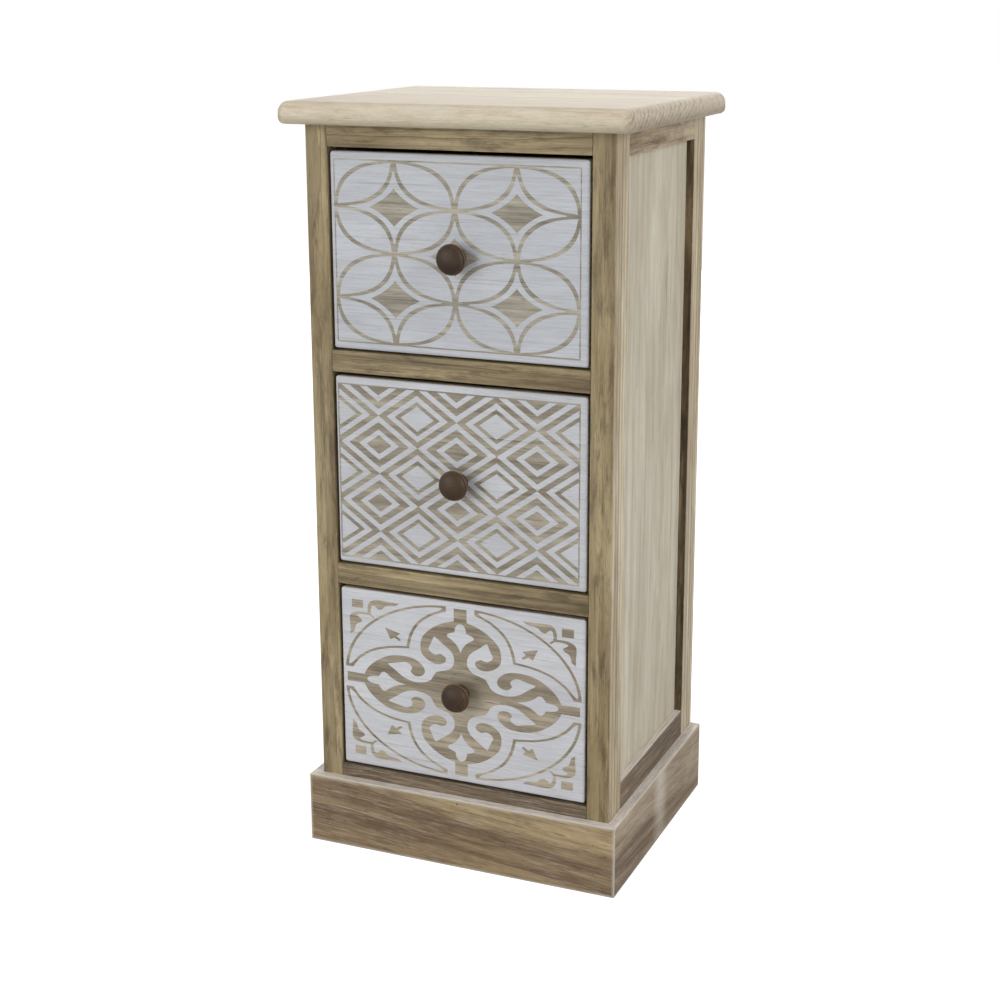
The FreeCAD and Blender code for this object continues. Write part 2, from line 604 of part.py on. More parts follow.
# The drawers
for floor in DRAWERS:
    base = f"Places.{floor}_floor"
    low = f"({base} + Sizes.drawer_running_gap)"
    high = f"({low} + Sizes.drawer_side_height)"
    bottom_low = f"({low} + Sizes.drawer_bottom_rise)"
    bottom_high = f"({bottom_low} + Sizes.drawer_bottom_thickness)"
    front_low = f"({base} + Sizes.drawer_gap_below)"
    front_high = f"({base} + Places.opening_height - Sizes.drawer_gap_above)"
    front_middle = f"(({front_low} + {front_high}) / 2)"

    # Nails: two at each end of both sides, and two up through the bottom into the back
    nails = []
    rabbet_middle = "(Places.drawer_rabbet_front + Places.drawer_front_back) / 2"
    for side in SIDES:
        inward = "-X" if side == "right" else "+X"
        for y in (rabbet_middle, "Places.drawer_back_middle"):
            for z in (f"{low} + Sizes.drawer_nail_inset", f"{high} - Sizes.drawer_nail_inset"):
                place = (on_side(side, "Places.drawer_right"), y, z)
                nails.append(nail("drawer_nail", inward, place, "Sizes.drawer_nail_length"))
        x = on_side(side, "Sizes.drawer_bottom_nail_side")
        place = (x, "Places.drawer_back_middle", bottom_low)
        nails.append(nail("drawer_nail", "+Z", place, "Sizes.drawer_nail_length"))
    drawer_nails = group(f"{floor}_drawer_nails", nails)

    # The bottom sits in a groove that runs round the sides and the front
    slot_right = "(Places.drawer_inner + Sizes.drawer_groove_depth)"
    bottom_slot = board(
        f"{floor}_bottom_slot",
        (f"-{slot_right}", slot_right),
        ("Places.drawer_front_back - Sizes.drawer_groove_depth", "Places.drawer_rear"),
        (bottom_low, bottom_high),
    )
    bottom_right = "(Places.drawer_inner + Places.drawer_tongue)"
    bottom = board(
        f"{floor}_drawer_bottom",
        (f"-{bottom_right}", bottom_right),
        ("Places.drawer_front_back - Places.drawer_tongue", "Places.drawer_rear"),
        (bottom_low, bottom_high),
    )
    keep(cut(bottom, drawer_nails), f"{floor}_drawer_bottom")
    back = board(
        f"{floor}_drawer_back",
        ("-Places.drawer_inner", "Places.drawer_inner"),
        ("Places.drawer_back_front", "Places.drawer_rear"),
        (bottom_high, high),
    )
    keep(cut(back, drawer_nails), f"{floor}_drawer_back")

    # The sides are let into rabbets at the back of the front
    side_blanks = []
    for side in SIDES:
        name = f"{floor}_drawer_{side}_side"
        blank = board(
            name,
            across(side, "Places.drawer_inner", "Places.drawer_right"),
            ("Places.drawer_rabbet_front", "Places.drawer_rear"),
            (low, high),
        )
        side_blanks.append(blank)
        keep(cut(blank, bottom_slot, drawer_nails), name)

    # The knob's screw comes from inside the drawer, through the front
    screw_start = "Places.drawer_front_back + Sizes.knob_screw_head_height"
    screw_length = "Sizes.knob_screw_head_height + Sizes.drawer_front_thickness + Sizes.knob_screw_grip"
    screw_place = ("0", screw_start, front_middle)
    screw = nail(f"{floor}_screw", "-Y", screw_place, screw_length, "knob_screw_head")
    keep(screw, f"{floor}_knob_screw")
    screw_hole = rod(
        f"{floor}_screw_hole",
        "-Y",
        ("0", "Places.drawer_front_back", front_middle),
        "(Sizes.knob_screw_diameter + 2 * Sizes.knob_screw_clearance)",
        "Sizes.drawer_front_thickness",
    )
    knob = turned_knob(f"{floor}_knob")
    put(knob, "0", "Places.drawer_face", front_middle)
    keep(cut(knob, screw), f"{floor}_knob")

    # The front is rounded all round its face
    name = f"{floor}_drawer_front"
    half_height = f"(({front_high} - {front_low}) / 2)"
    outline = rectangle("Places.drawer_right", f"-{half_height}", half_height)
    front, pad = padded_outline(name, "XZ_Plane", outline, "Sizes.drawer_front_thickness")
    rounded(front, pad, lies_at("y", -sizes.drawer_front_thickness), "Sizes.drawer_edge_round")
    put(front, "0", "Places.drawer_front_back", front_middle)
    keep(cut(front, *side_blanks, bottom_slot, drawer_nails, screw_hole), name)

doc.recompute()
for item in doc.Objects:
    if "Invalid" in item.State or "Error" in item.State:
        raise RuntimeError(f"{item.Name} could not be made")
for part in subparts:
    if part.Shape.isNull() or not part.Shape.isValid():
        raise RuntimeError(f"{part.Label} is not a valid solid")

os.makedirs("parts", exist_ok=True)
for part in subparts:
    part.Shape.exportStep(f"parts/{part.Label}.step")
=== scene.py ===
import json
import math
import bmesh
import bpy
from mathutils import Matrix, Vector

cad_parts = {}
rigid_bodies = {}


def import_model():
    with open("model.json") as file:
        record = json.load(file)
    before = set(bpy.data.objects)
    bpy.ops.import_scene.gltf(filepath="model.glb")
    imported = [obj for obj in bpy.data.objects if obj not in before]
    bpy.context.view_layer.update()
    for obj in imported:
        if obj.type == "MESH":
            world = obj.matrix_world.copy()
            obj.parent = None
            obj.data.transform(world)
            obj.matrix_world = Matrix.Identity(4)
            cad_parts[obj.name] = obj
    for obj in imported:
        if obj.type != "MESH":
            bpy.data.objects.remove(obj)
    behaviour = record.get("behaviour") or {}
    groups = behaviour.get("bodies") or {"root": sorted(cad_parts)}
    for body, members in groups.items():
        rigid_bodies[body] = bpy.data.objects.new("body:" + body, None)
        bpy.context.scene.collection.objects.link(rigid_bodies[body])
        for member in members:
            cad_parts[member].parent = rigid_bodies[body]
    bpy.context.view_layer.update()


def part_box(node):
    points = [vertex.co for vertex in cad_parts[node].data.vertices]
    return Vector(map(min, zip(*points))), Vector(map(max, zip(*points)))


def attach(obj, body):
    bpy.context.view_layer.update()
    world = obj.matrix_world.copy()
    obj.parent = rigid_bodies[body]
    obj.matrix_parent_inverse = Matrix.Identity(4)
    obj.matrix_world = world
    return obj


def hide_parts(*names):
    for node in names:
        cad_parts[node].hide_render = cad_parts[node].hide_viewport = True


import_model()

mm = 0.001

# ---- View, floor and light ---------------------------------------------------------------------
# The stand is seen from its right front corner, a little above its top. It stands on a pale studio
# floor in wide soft light, a little stronger from the left front than from the right.


def set_up(name, data):
    """Puts data into the scene as an object."""
    made = bpy.data.objects.new(name, data)
    bpy.context.collection.objects.link(made)
    return made


view = bpy.data.cameras.new("studio_view")
view.sensor_width, view.lens = 36.0, 64.8
view.shift_y = -0.05
view.clip_end = 50.0
view_stand = set_up("studio_view", view)
view_stand.location = (0.5824, -1.3874, 0.7266)
view_stand.rotation_euler = [math.radians(a) for a in (75.58, 0.176, 23.046)]
bpy.context.scene.camera = view_stand
bpy.context.scene.view_settings.view_transform = "Standard"


def feed(tree, socket, value):
    """Feeds a socket with a value, with another socket, or with the first output of a node."""
    if isinstance(value, bpy.types.Node):
        value = value.outputs[0]
    if isinstance(value, bpy.types.NodeSocket):
        tree.links.new(value, socket)
    else:
        socket.default_value = value


def place(tree, kind, inputs=None, **settings):
    """Puts a node in a tree, with its settings and what feeds its inputs."""
    made = tree.nodes.new(kind)
    for key, value in settings.items():
        setattr(made, key, value)
    for key, value in (inputs or {}).items():
        feed(tree, made.inputs[key], value)
    return made


def new_finish(name, kind=bpy.data.materials):
    """A material, or the world's light, with an empty node tree."""
    finish = kind.new(name)
    finish.use_nodes = True
    finish.node_tree.nodes.clear()
    return finish, finish.node_tree


white = (1, 1, 1, 1)
sky_light, backdrop_light = 0.34, 1.0
studio, tree = new_finish("studio", bpy.data.worlds)
rays = place(tree, "ShaderNodeLightPath").outputs
seen = place(tree, "ShaderNodeMath", {0: rays["Is Camera Ray"], 1: rays["Is Glossy Ray"]},
             operation="MAXIMUM")
sky, backdrop = [place(tree, "ShaderNodeBackground", {"Color": white, "Strength": strength})
                 for strength in (sky_light, backdrop_light)]
both = place(tree, "ShaderNodeMixShader", {0: seen, 1: sky, 2: backdrop})
place(tree, "ShaderNodeOutputWorld", {"Surface": both})
bpy.context.scene.world = studio

floor_reach, floor_grey, floor_glow = 9, 0.74, 0.8
floor_mesh = bpy.data.meshes.new("studio_floor")
floor_mesh.from_pydata([(x * floor_reach, y * floor_reach, 0)
                        for x, y in ((-1, -1), (1, -1), (1, 1), (-1, 1))], [], [(0, 1, 2, 3)])
studio_floor = set_up("studio_floor", floor_mesh)
floor_finish, tree = new_finish("pale_floor")
matt = place(tree, "ShaderNodeBsdfDiffuse", {"Color": (floor_grey, floor_grey, floor_grey, 1)})
glow = place(tree, "ShaderNodeEmission", {"Color": white, "Strength": floor_glow})
lit = place(tree, "ShaderNodeAddShader", {0: matt, 1: glow})
rays = place(tree, "ShaderNodeLightPath").outputs
shown = place(tree, "ShaderNodeMixShader", {0: rays["Is Camera Ray"], 1: matt, 2: lit})
place(tree, "ShaderNodeOutputMaterial", {"Surface": shown})
floor_mesh.materials.append(floor_finish)

# Each lamp's place, its width in metres and its watts.
lamps_aim = Vector((0, 0, 0.33))
for name, spot, width, watts in (("left_front_lamp", (-1.9, -3.0, 1.15), 2.1, 58.0),
                                 ("right_lamp", (2.6, -0.8, 1.3), 1.7, 33.0),
                                 ("high_lamp", (0.1, 0.5, 2.8), 1.6, 9.0),
                                 ("back_lamp", (-0.8, 3.0, 0.9), 1.9, 20.0)):
    lamp = bpy.data.lights.new(name, "AREA")
    lamp.energy, lamp.size = watts, width
    lamp_stand = set_up(name, lamp)
    lamp_stand.location = spot
    lamp_stand.rotation_euler = (lamps_aim - Vector(spot)).to_track_quat("-Z", "Y").to_euler()

# ---- Posts and rails ---------------------------------------------------------------------------
# Four square-sawn posts run from the top board to the floor, with rails doweled between them. They
# are pale paulownia, brushed and stained a weathered brown, with the sharp arrises sanded off.


def set_grain(mesh, run, pith, shift, slant=0.0):
    """Stores each point's place in the log it was sawn from: along the fibres, which follow the
    axis `run`, and across them from `pith`, where the middle of the tree lay beside the board's
    middle. `shift` picks another stretch of the log, and `slant` is how fast the fibres climb along
    the board. The "end" layer is 1 where the fibres are cut across."""
    upright, end_from, end_range = 2, 0.3, 0.5
    corners = [v.co for v in mesh.vertices]
    middle = [(min(c[i] for c in corners) + max(c[i] for c in corners)) / 2 for i in range(3)]
    across = list(zip(((run + 1) % 3, (run + 2) % 3), pith))
    log = mesh.attributes.new("grain", "FLOAT_VECTOR", "POINT")
    for point, co in zip(log.data, corners):
        along = co[run] - middle[run]
        point.vector = [along + shift] + [
            co[i] - middle[i] - off + slant * along * (i == upright) for i, off in across]
    end = mesh.attributes.new("end", "FLOAT", "CORNER")
    for face in mesh.polygons:
        for i in face.loop_indices:
            vert = mesh.vertices[mesh.loops[i].vertex_index]
            facing = abs((vert.normal if face.use_smooth else face.normal)[run])
            end.data[i].value = min(max((facing - end_from) / end_range, 0.0), 1.0)


def finish_mesh(name, bm, materials, log=None):
    """Makes the piece's object. `log` is how its wood was sawn, in the values of set_grain."""
    bmesh.ops.recalc_face_normals(bm, faces=bm.faces)
    mesh = bpy.data.meshes.new(name)
    bm.to_mesh(mesh)
    bm.free()
    for material in materials:
        mesh.materials.append(material)
    if log:
        set_grain(mesh, *log)
    return set_up(name, mesh)


def sawn_board(name, outline, sweep, low, high, materials, log, arris=0.7 * mm, fade=2.0 * mm,
               sides=()):
    """A board of one section, swept from `low` to `high` along an axis, with its arrises eased. The
    "edge" layer is 1 on an arris and fades out beside it. `sides` are directions, each with the
    number of the material that faces it."""
    worn, half_worn, facing = 1.0, 0.5, 0.8
    bm = bmesh.new()
    across, up = (sweep + 1) % 3, (sweep + 2) % 3
    ends = []
    for height in (low, high):
        ring = []
        for p, q in outline:
            co = [0.0, 0.0, 0.0]
            co[sweep], co[across], co[up] = height, p, q
            ring.append(bm.verts.new(co))
        ends.append(ring)
    bm.faces.new(ends[0][::-1])
    bm.faces.new(ends[1])
    for i in range(len(outline)):
        j = (i + 1) % len(outline)
        bm.faces.new((ends[0][i], ends[0][j], ends[1][j], ends[1][i]))
    bmesh.ops.recalc_face_normals(bm, faces=bm.faces)
    eased = bmesh.ops.bevel(bm, geom=list(bm.edges), offset=arris, segments=3, profile=0.5,
                            affect="EDGES")
    rounded = set(eased["faces"])
    flat = [face for face in bm.faces if face not in rounded]
    beside = bmesh.ops.inset_individual(bm, faces=flat, thickness=fade, use_even_offset=True)
    edge = bm.loops.layers.float.new("edge")
    for face in rounded:
        face.smooth = True
        for loop in face.loops:
            loop[edge] = worn
    for face in beside["faces"]:
        for loop in face.loops:
            if any(f in rounded for f in loop.vert.link_faces):
                loop[edge] = half_worn
    bm.normal_update()
    for direction, number in sides:
        for face in bm.faces:
            if face.normal.dot(Vector(direction)) > facing:
                face.material_index = number
    return finish_mesh(name, bm, materials, log)


def stands_for(piece, node, body):
    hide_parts(node)
    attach(piece, body)


def rectangle(left, right, bottom, top):
    return [(left, bottom), (right, bottom), (right, top), (left, top)]


def box_board(node, body, slot, materials, log, **easing):
    """A plain board that stands for a CAD node, in its place."""
    low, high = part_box(node)
    board = sawn_board(f"{node}_board", rectangle(low[1], high[1], low[2], high[2]), 0, low[0],
                       high[0], materials, log, **easing)
    stands_for(board, node, body)


def sums(tree, operation, first, second=0.0, third=0.0, clamp=False):
    return place(tree, "ShaderNodeMath", {0: first, 1: second, 2: third}, operation=operation,
                 use_clamp=clamp)


def vector_sums(tree, operation, first, second):
    second_key = "Scale" if operation == "SCALE" else 1
    return place(tree, "ShaderNodeVectorMath", {0: first, second_key: second}, operation=operation)


def between(tree, value, low, high, out_low=0.0, out_high=1.0):
    """Smoothly 0 to 1 (or the other values given) as the input goes from low to high."""
    return place(tree, "ShaderNodeMapRange",
                 {"Value": value, "From Min": low, "From Max": high, "To Min": out_low,
                  "To Max": out_high}, interpolation_type="SMOOTHSTEP")


def stretched_noise(tree, log, stretch, detail=3.0, roughness=0.6):
    """Noise drawn out along the fibres. `stretch` is how often it changes in a metre."""
    scaled = vector_sums(tree, "MULTIPLY", log, stretch)
    return place(tree, "ShaderNodeTexNoise", {"Vector": scaled, "Scale": 1.0, "Detail": detail,
                                              "Roughness": roughness})


def new_tree(name, inputs, outputs, kind="ShaderNodeTree"):
    """A node tree with named sockets, each given by its kind or by its usual value."""
    kinds = {float: "Float", int: "Int", bool: "Bool"}
    made = bpy.data.node_groups.new(name, kind)
    for direction, sockets in (("INPUT", inputs), ("OUTPUT", outputs)):
        for label, usual in sockets.items():
            kind_only = isinstance(usual, str)
            socket_type = "NodeSocket" + (usual if kind_only else kinds[type(usual)])
            socket = made.interface.new_socket(name=label, in_out=direction,
                                               socket_type=socket_type)
            if not kind_only:
                socket.default_value = usual
    return made, made.nodes.new("NodeGroupInput").outputs, made.nodes.new("NodeGroupOutput").inputs


# The figure of sawn wood: growth rings about the middle of the log, which wander along it, a rim of
# darker heartwood, fibres, open pores, fine cracks, long stain streaks, blotches, soft clouds and
# now and then a knot that the rings flow round.
wood_figure, given, made = new_tree(
    "wood_figure",
    {"Grain": "Vector", "Ring width": 7 * mm, "Wander": 30 * mm, "Knots": 0.0, "Heart radius": 0.0},
    dict.fromkeys(("Rings", "Fibres", "Pores", "Streaks", "Clouds", "Knot", "Mottle", "Cracks",
                   "Heart"), "Float"))
t, log = wood_figure, given["Grain"]
# Distance from the middle of the log, which wanders, with a fine ripple.
drift = stretched_noise(t, log, (2.6, 9, 9), 2.0, 0.5).outputs["Color"]
drift = vector_sums(t, "SUBTRACT", drift, (0.5, 0.5, 0.5))
wandered = vector_sums(t, "ADD", log, vector_sums(t, "SCALE", drift, given["Wander"]))
across = place(t, "ShaderNodeSeparateXYZ", {0: wandered}).outputs
squares = [sums(t, "MULTIPLY", across[i], across[i]) for i in (1, 2)]
radius = sums(t, "SQRT", sums(t, "ADD", *squares))
ripple, ripple_depth = stretched_noise(t, log, (30, 160, 160), 2.0, 0.5), 2.2 * mm
# Knots stand in the cells of a coarse grid, and push the rings outwards.
knot_reach, knot_push = 0.42, 20 * mm
knot_cells = vector_sums(t, "MULTIPLY", wandered, (9.0, 17.0, 17.0))
knot_spot = place(t, "ShaderNodeTexVoronoi",
                  {"Vector": knot_cells, "Scale": 1.0, "Randomness": 0.9})
knot_near = between(t, knot_spot.outputs["Distance"], 0.0, knot_reach, 1.0, 0.0)
knot_near = sums(t, "MULTIPLY", knot_near, given["Knots"])
for push, depth in ((ripple, ripple_depth), (knot_near, knot_push)):
    radius = sums(t, "ADD", radius, sums(t, "MULTIPLY", push, depth))
feed(t, made["Knot"], between(t, knot_near, 0.72, 0.92))
# The heartwood is dark at its rim and paler toward the middle of the log.
past_heart = sums(t, "SUBTRACT", radius, given["Heart radius"])
in_heart = between(t, past_heart, -6 * mm, 2 * mm, 1.0, 0.0)
near_rim = between(t, past_heart, -42 * mm, -20 * mm, 0.2, 1.0)
feed(t, made["Heart"], sums(t, "MULTIPLY", in_heart, near_rim))
# Late wood darkens toward the end of each year, in some years more than in others.
years = sums(t, "DIVIDE", radius, given["Ring width"])
season = sums(t, "FRACT", years)
late_wood = sums(t, "MULTIPLY", sums(t, "POWER", season, 4.0),
                 between(t, season, 0.93, 1.0, 1.0, 0.0))
growth = place(t, "ShaderNodeTexWhiteNoise", {"W": sums(t, "FLOOR", years)},
               noise_dimensions="1D").outputs["Value"]
growth = sums(t, "MULTIPLY_ADD", growth, 1.1, 0.35)
feed(t, made["Rings"], sums(t, "MULTIPLY", late_wood, growth))
# Pores are short dashes along the fibres, most of them in the early wood.
open_early = sums(t, "MULTIPLY_ADD", between(t, season, 0.75, 0.1, 0.0, 1.0), 0.65, 0.35)
dashes = between(t, stretched_noise(t, log, (110, 1500, 1500), 1.0, 0.5), 0.6, 0.7)
feed(t, made["Pores"], sums(t, "MULTIPLY", dashes, open_early))
feed(t, made["Fibres"], stretched_noise(t, log, (32, 720, 720), 4.0, 0.74))
# Each mask's stretch, detail and roughness, and the noise at which it starts and is full.
for label, stretch, detail, roughness, low, high in (
        ("Streaks", (5, 95, 95), 4.0, 0.6, 0.36, 0.66),
        ("Clouds", (7, 26, 26), 3.0, 0.55, 0.32, 0.68),
        ("Mottle", (26, 120, 120), 4.0, 0.7, 0.46, 0.68),
        ("Cracks", (10, 800, 800), 1.0, 0.4, 0.66, 0.73)):
    noise = stretched_noise(t, log, stretch, detail, roughness)
    feed(t, made[label], between(t, noise, low, high))

# Wear along the arrises: the stain is rubbed through to paler wood, in broken patches.
worn_arris, given, made = new_tree(
    "worn_arris", {"Edge": 0.0, "Grain": "Vector", "Amount": 0.5}, {"Worn": "Float"})
t = worn_arris
patchy = sums(t, "SUBTRACT", stretched_noise(t, given["Grain"], (45, 260, 260), 5.0, 0.75), 0.6)
rubbed = between(t, sums(t, "MULTIPLY_ADD", given["Amount"], 0.5, patchy), -0.05, 0.25)
feed(t, made["Worn"], sums(t, "MULTIPLY", rubbed, given["Edge"], clamp=True))


def stored(tree, name, output="Fac"):
    """A value that is stored on the mesh."""
    return place(tree, "ShaderNodeAttribute", attribute_name=name).outputs[output]


def figured(tree, log, ring, wander, knots=0.0, heart=0.0):
    """The masks of the wood's figure, and its fibres as a fine relief."""
    masks = place(tree, "ShaderNodeGroup", {"Grain": log, "Ring width": ring, "Wander": wander,
                  "Knots": knots, "Heart radius": heart}, node_tree=wood_figure).outputs
    return masks, between(tree, masks["Fibres"], 0.3, 0.7, -0.5, 0.5)


def paint(red, green, blue):
    """A colour as it looks in a picture, 0 to 255, for a colour socket."""
    parts = [c / 255 for c in (red, green, blue)]
    return tuple(c / 12.92 if c <= 0.04045 else ((c + 0.055) / 1.055) ** 2.4
                 for c in parts) + (1.0,)


def blend_colour(tree, amount, first, second, how="MIX"):
    return place(tree, "ShaderNodeMix", {0: amount, 6: first, 7: second}, data_type="RGBA",
                 blend_type=how).outputs[2]


def stained(tree, tone, *stains):
    """Lays stains over a tone. Each is its mask, how strong it is, and its colour."""
    for mask, strength, stain in stains:
        tone = blend_colour(tree, sums(tree, "MULTIPLY", mask, strength), tone, paint(*stain))
    return tone


def shaded(tree, tone, fine, fibres, *masks):
    """Lightens and darkens a tone by its fibres, and darkens it by masks, each at its strength."""
    shade = sums(tree, "MULTIPLY_ADD", fine, fibres, 1.0)
    for mask, strength in masks:
        shade = sums(tree, "MULTIPLY_ADD", mask, -strength, shade)
    grey = place(tree, "ShaderNodeCombineColor", {0: shade, 1: shade, 2: shade}).outputs[0]
    return blend_colour(tree, 1.0, tone, grey, "MULTIPLY")


def surfaced(tree, tone, roughness, height=None, relief=0.0, depth=0.1 * mm, specular=0.5,
             metallic=0.0):
    """Ends a material in its surface, with a fine relief where `height` is given."""
    surface = {"Base Color": tone, "Roughness": roughness, "Specular IOR Level": specular,
               "Metallic": metallic}
    if height is not None:
        surface["Normal"] = place(tree, "ShaderNodeBump", {"Height": height, "Strength": relief,
                                                           "Distance": depth})
    shader = place(tree, "ShaderNodeBsdfPrincipled", surface)
    place(tree, "ShaderNodeOutputMaterial", {"Surface": shader})


def spot_in_object(tree):
    at = place(tree, "ShaderNodeTexCoord").outputs["Object"]
    return place(tree, "ShaderNodeSeparateXYZ", {0: at}).outputs


def stained_wood(name, pale, body, dark, ring=7 * mm, wander=30 * mm, knots=0.0, rings=0.5,
                 streaks=0.6, pores=0.5, fibres=0.34, worn=0.5, rubbed=(200, 188, 165), rough=0.58,
                 ends=0.3, mottle=0.0, residue=0.0, heart=0.0, heartwood=None, smear=None):
    """Brushed and stained wood. `pale`, `body` and `dark` are its three tones, and `rubbed` is the
    tone of a worn arris. End grain drinks more stain, and `ends` is how much darker it is. `heart`
    is the radius of the heartwood, which has a darker rim. `residue` is how much pale stain is left
    in the hollows of the grain, and `smear` is where, front to back, a pale wipe crosses the board,
    and half its width."""
    cracks, knot_shade, relief, relief_depth = 0.3, 0.35, 0.35, 0.15 * mm
    residue_tone, smear_tone = (196, 188, 178), (206, 197, 183)
    material, tree = new_finish(name)
    log, edge, end = stored(tree, "grain", "Vector"), stored(tree, "edge"), stored(tree, "end")
    masks, fine = figured(tree, log, ring, wander, knots, heart)
    wear = place(tree, "ShaderNodeGroup", {"Edge": edge, "Grain": log, "Amount": worn},
                 node_tree=worn_arris)
    tone = stained(tree, paint(*body), (masks["Clouds"], 1.0, pale))
    if heart:
        uneven = sums(tree, "MULTIPLY_ADD", masks["Streaks"], 0.45, 0.5)
        tone = stained(tree, tone, (masks["Heart"], uneven, heartwood))
    tone = stained(tree, tone, (masks["Streaks"], streaks, dark), (masks["Mottle"], mottle, dark),
                   (masks["Rings"], rings, dark))
    if residue:
        left = sums(tree, "MULTIPLY_ADD", masks["Clouds"], -residue, residue)
        hollows = between(tree, masks["Fibres"], 0.5, 0.64)
        tone = stained(tree, tone, (hollows, left, residue_tone))
    if smear:
        spot = spot_in_object(tree)
        off = sums(tree, "ABSOLUTE", sums(tree, "SUBTRACT", spot[1], smear[0]))
        wiped = between(tree, off, 0.0, smear[1], 1.0, 0.0)
        higher = between(tree, spot[2], 5 * mm, 45 * mm, 0.4, 0.85)
        tone = stained(tree, tone, (wiped, higher, smear_tone))
    tone = shaded(tree, tone, fine, fibres, (masks["Pores"], 0.45 * pores),
                  (masks["Cracks"], cracks), (end, ends), (masks["Knot"], knot_shade))
    tone = stained(tree, tone, (wear, 1.0, rubbed))
    height = sums(tree, "MULTIPLY_ADD", masks["Rings"], 0.5, fine)
    height = sums(tree, "MULTIPLY_ADD", masks["Pores"], -0.9, height)
    sheen = sums(tree, "MULTIPLY_ADD", masks["Fibres"], 0.16, rough - 0.08)
    surfaced(tree, tone, sheen, height, relief, relief_depth, specular=0.35)
    return material


frame_stain = stained_wood("frame_stain", (182, 165, 127), (152, 134, 98), (70, 52, 34),
                           ring=6.5 * mm, streaks=0.5, pores=0.7, worn=0.12,
                           rubbed=(186, 170, 136), mottle=0.5)
# The posts' outward faces are paler than their fronts: partly a paler stain and partly painted
# light on the sides.
side_stain = stained_wood("side_stain", (222, 212, 186), (200, 184, 155), (128, 105, 76),
                          ring=6.5 * mm, wander=8 * mm, rings=1.0, streaks=0.45, pores=0.4,
                          fibres=0.3, worn=0.2, rubbed=(220, 210, 186), mottle=0.25)
# The rear posts' forward-facing strip, left showing in the recess beside the set-back side panel,
# is near black: painted shade in that recess.
shaded_stain = stained_wood("shaded_stain", (160, 138, 104), (90, 71, 49), (24, 18, 13),
                            ring=5 * mm, streaks=0.7, pores=0.7, worn=0.0, mottle=0.6)
rabbet_wide, rabbet_deep = 8 * mm, 4 * mm
for side, sign in (("left", -1), ("right", 1)):
    node = f"front_{side}_post"
    low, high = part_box(node)
    post = sawn_board(f"front_{side}_upright", rectangle(low[0], high[0], low[1], high[1]), 2,
                      low[2], high[2], [frame_stain, side_stain],
                      (2, (14 * mm * sign, 42 * mm), 1.7 + 2.9 * (sign > 0)),
                      sides=(((sign, 0, 0), 1),))
    stands_for(post, node, "case")
    node = f"rear_{side}_post"
    low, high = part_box(node)
    inner, outer = (low[0], high[0]) if sign > 0 else (high[0], low[0])
    step, seat = inner + sign * rabbet_wide, high[1] - rabbet_deep
    stepped = [(inner, low[1]), (outer, low[1]), (outer, high[1]), (step, high[1]), (step, seat),
               (inner, seat)]
    post = sawn_board(f"rear_{side}_upright", stepped, 2, low[2], high[2],
                      [frame_stain, side_stain, shaded_stain],
                      (2, (-9 * mm * sign, -38 * mm), 7.3 + 2.2 * (sign > 0)), fade=0.9 * mm,
                      sides=(((sign, 0, 0), 1), ((0, -1, 0), 2)))
    stands_for(post, node, "case")

low_stain = stained_wood("low_rail_stain", (142, 125, 103), (116, 99, 79), (66, 52, 39),
                         ring=5 * mm, streaks=0.5, pores=0.9, fibres=0.5, worn=0.15,
                         rubbed=(164, 148, 124), mottle=0.35, residue=0.35)
# Faces that look up, on the plinth's ledge and the side bottom rails' tops, are near white: painted
# light falling on them from above.
rubbed_ledge = stained_wood("rubbed_ledge", (242, 235, 227), (228, 218, 207), (156, 138, 120),
                            ring=5 * mm, rings=0.25, streaks=0.25, pores=0.4,
                            rubbed=(244, 239, 232), mottle=0.2)
rail_stain = stained_wood("rail_stain", (178, 161, 124), (144, 126, 91), (66, 50, 33),
                          ring=6.5 * mm, streaks=0.5, pores=0.7, worn=0.12,
                          rubbed=(180, 164, 130), mottle=0.55)
for turn, node in enumerate(("front_top_rail", "front_upper_divider", "front_lower_divider",
                             "front_bottom_rail", "rear_top_rail", "rear_bottom_rail")):
    box_board(node, "case", "frame_wood",
              [low_stain if node == "front_bottom_rail" else rail_stain],
              (0, (18 * mm - 11 * mm * (turn % 3), -30 * mm - 6 * mm * turn), 11.0 + 1.9 * turn))
side_rail_stain = stained_wood("side_rail_stain", (202, 186, 160), (174, 154, 127), (102, 80, 58),
                               ring=5 * mm, wander=34 * mm, rings=0.3, streaks=0.5, worn=0.15,
                               mottle=0.65)
# The bottom rails' up-facing faces take the painted light of the ledges.
for turn, node in enumerate(("left_top_rail", "left_bottom_rail", "right_top_rail",
                             "right_bottom_rail")):
    low_rail = "bottom" in node
    box_board(node, "case", "frame_wood",
              [low_stain if low_rail else side_rail_stain, rubbed_ledge],
              (1, (9 * mm, -26 * mm), 25.0 + 1.3 * turn),
              sides=(((0, 0, 1), 1),) if low_rail else ())


def speckled(name, stretch, dark, pale, smooth, rough, detail=3.0, **relief):
    """A plain finish of two tones, finely clouded."""
    material, tree = new_finish(name)
    at = place(tree, "ShaderNodeTexCoord").outputs["Object"]
    flecks = stretched_noise(tree, at, stretch, detail)
    if relief:
        relief["height"] = flecks
    surfaced(tree, stained(tree, paint(*dark), (flecks, 1.0, pale)),
             between(tree, flecks, 0.3, 0.7, smooth, rough), **relief)
    return material


dowel_slots = bpy.data.objects["frame_dowels"].data.materials
dowel_slots.clear()
dowel_slots.append(speckled("dowel_beech", (60, 900, 900), (196, 160, 118), (222, 192, 152), 0.5,
                            0.65, relief=0.3))

# ---- Side panels -------------------------------------------------------------------------------
# Thin pale boards, their grain upright, held by a tongue in a groove of the posts and rails, and
# set back from the frame's outer face.
panel_wash = stained_wood("panel_wash", (216, 209, 191), (199, 190, 168), (152, 136, 110),
                          ring=9 * mm, wander=26 * mm, rings=0.3, streaks=0.26, pores=0.2,
                          fibres=0.17, worn=0.1, rough=0.62, mottle=0.12)
for turn, node in enumerate(("left_panel", "right_panel")):
    box_board(node, "case", "panel_wood", [panel_wash], (2, (70 * mm, 22 * mm), 40.0 + 3.1 * turn),
              arris=0.4 * mm, fade=0.6 * mm)

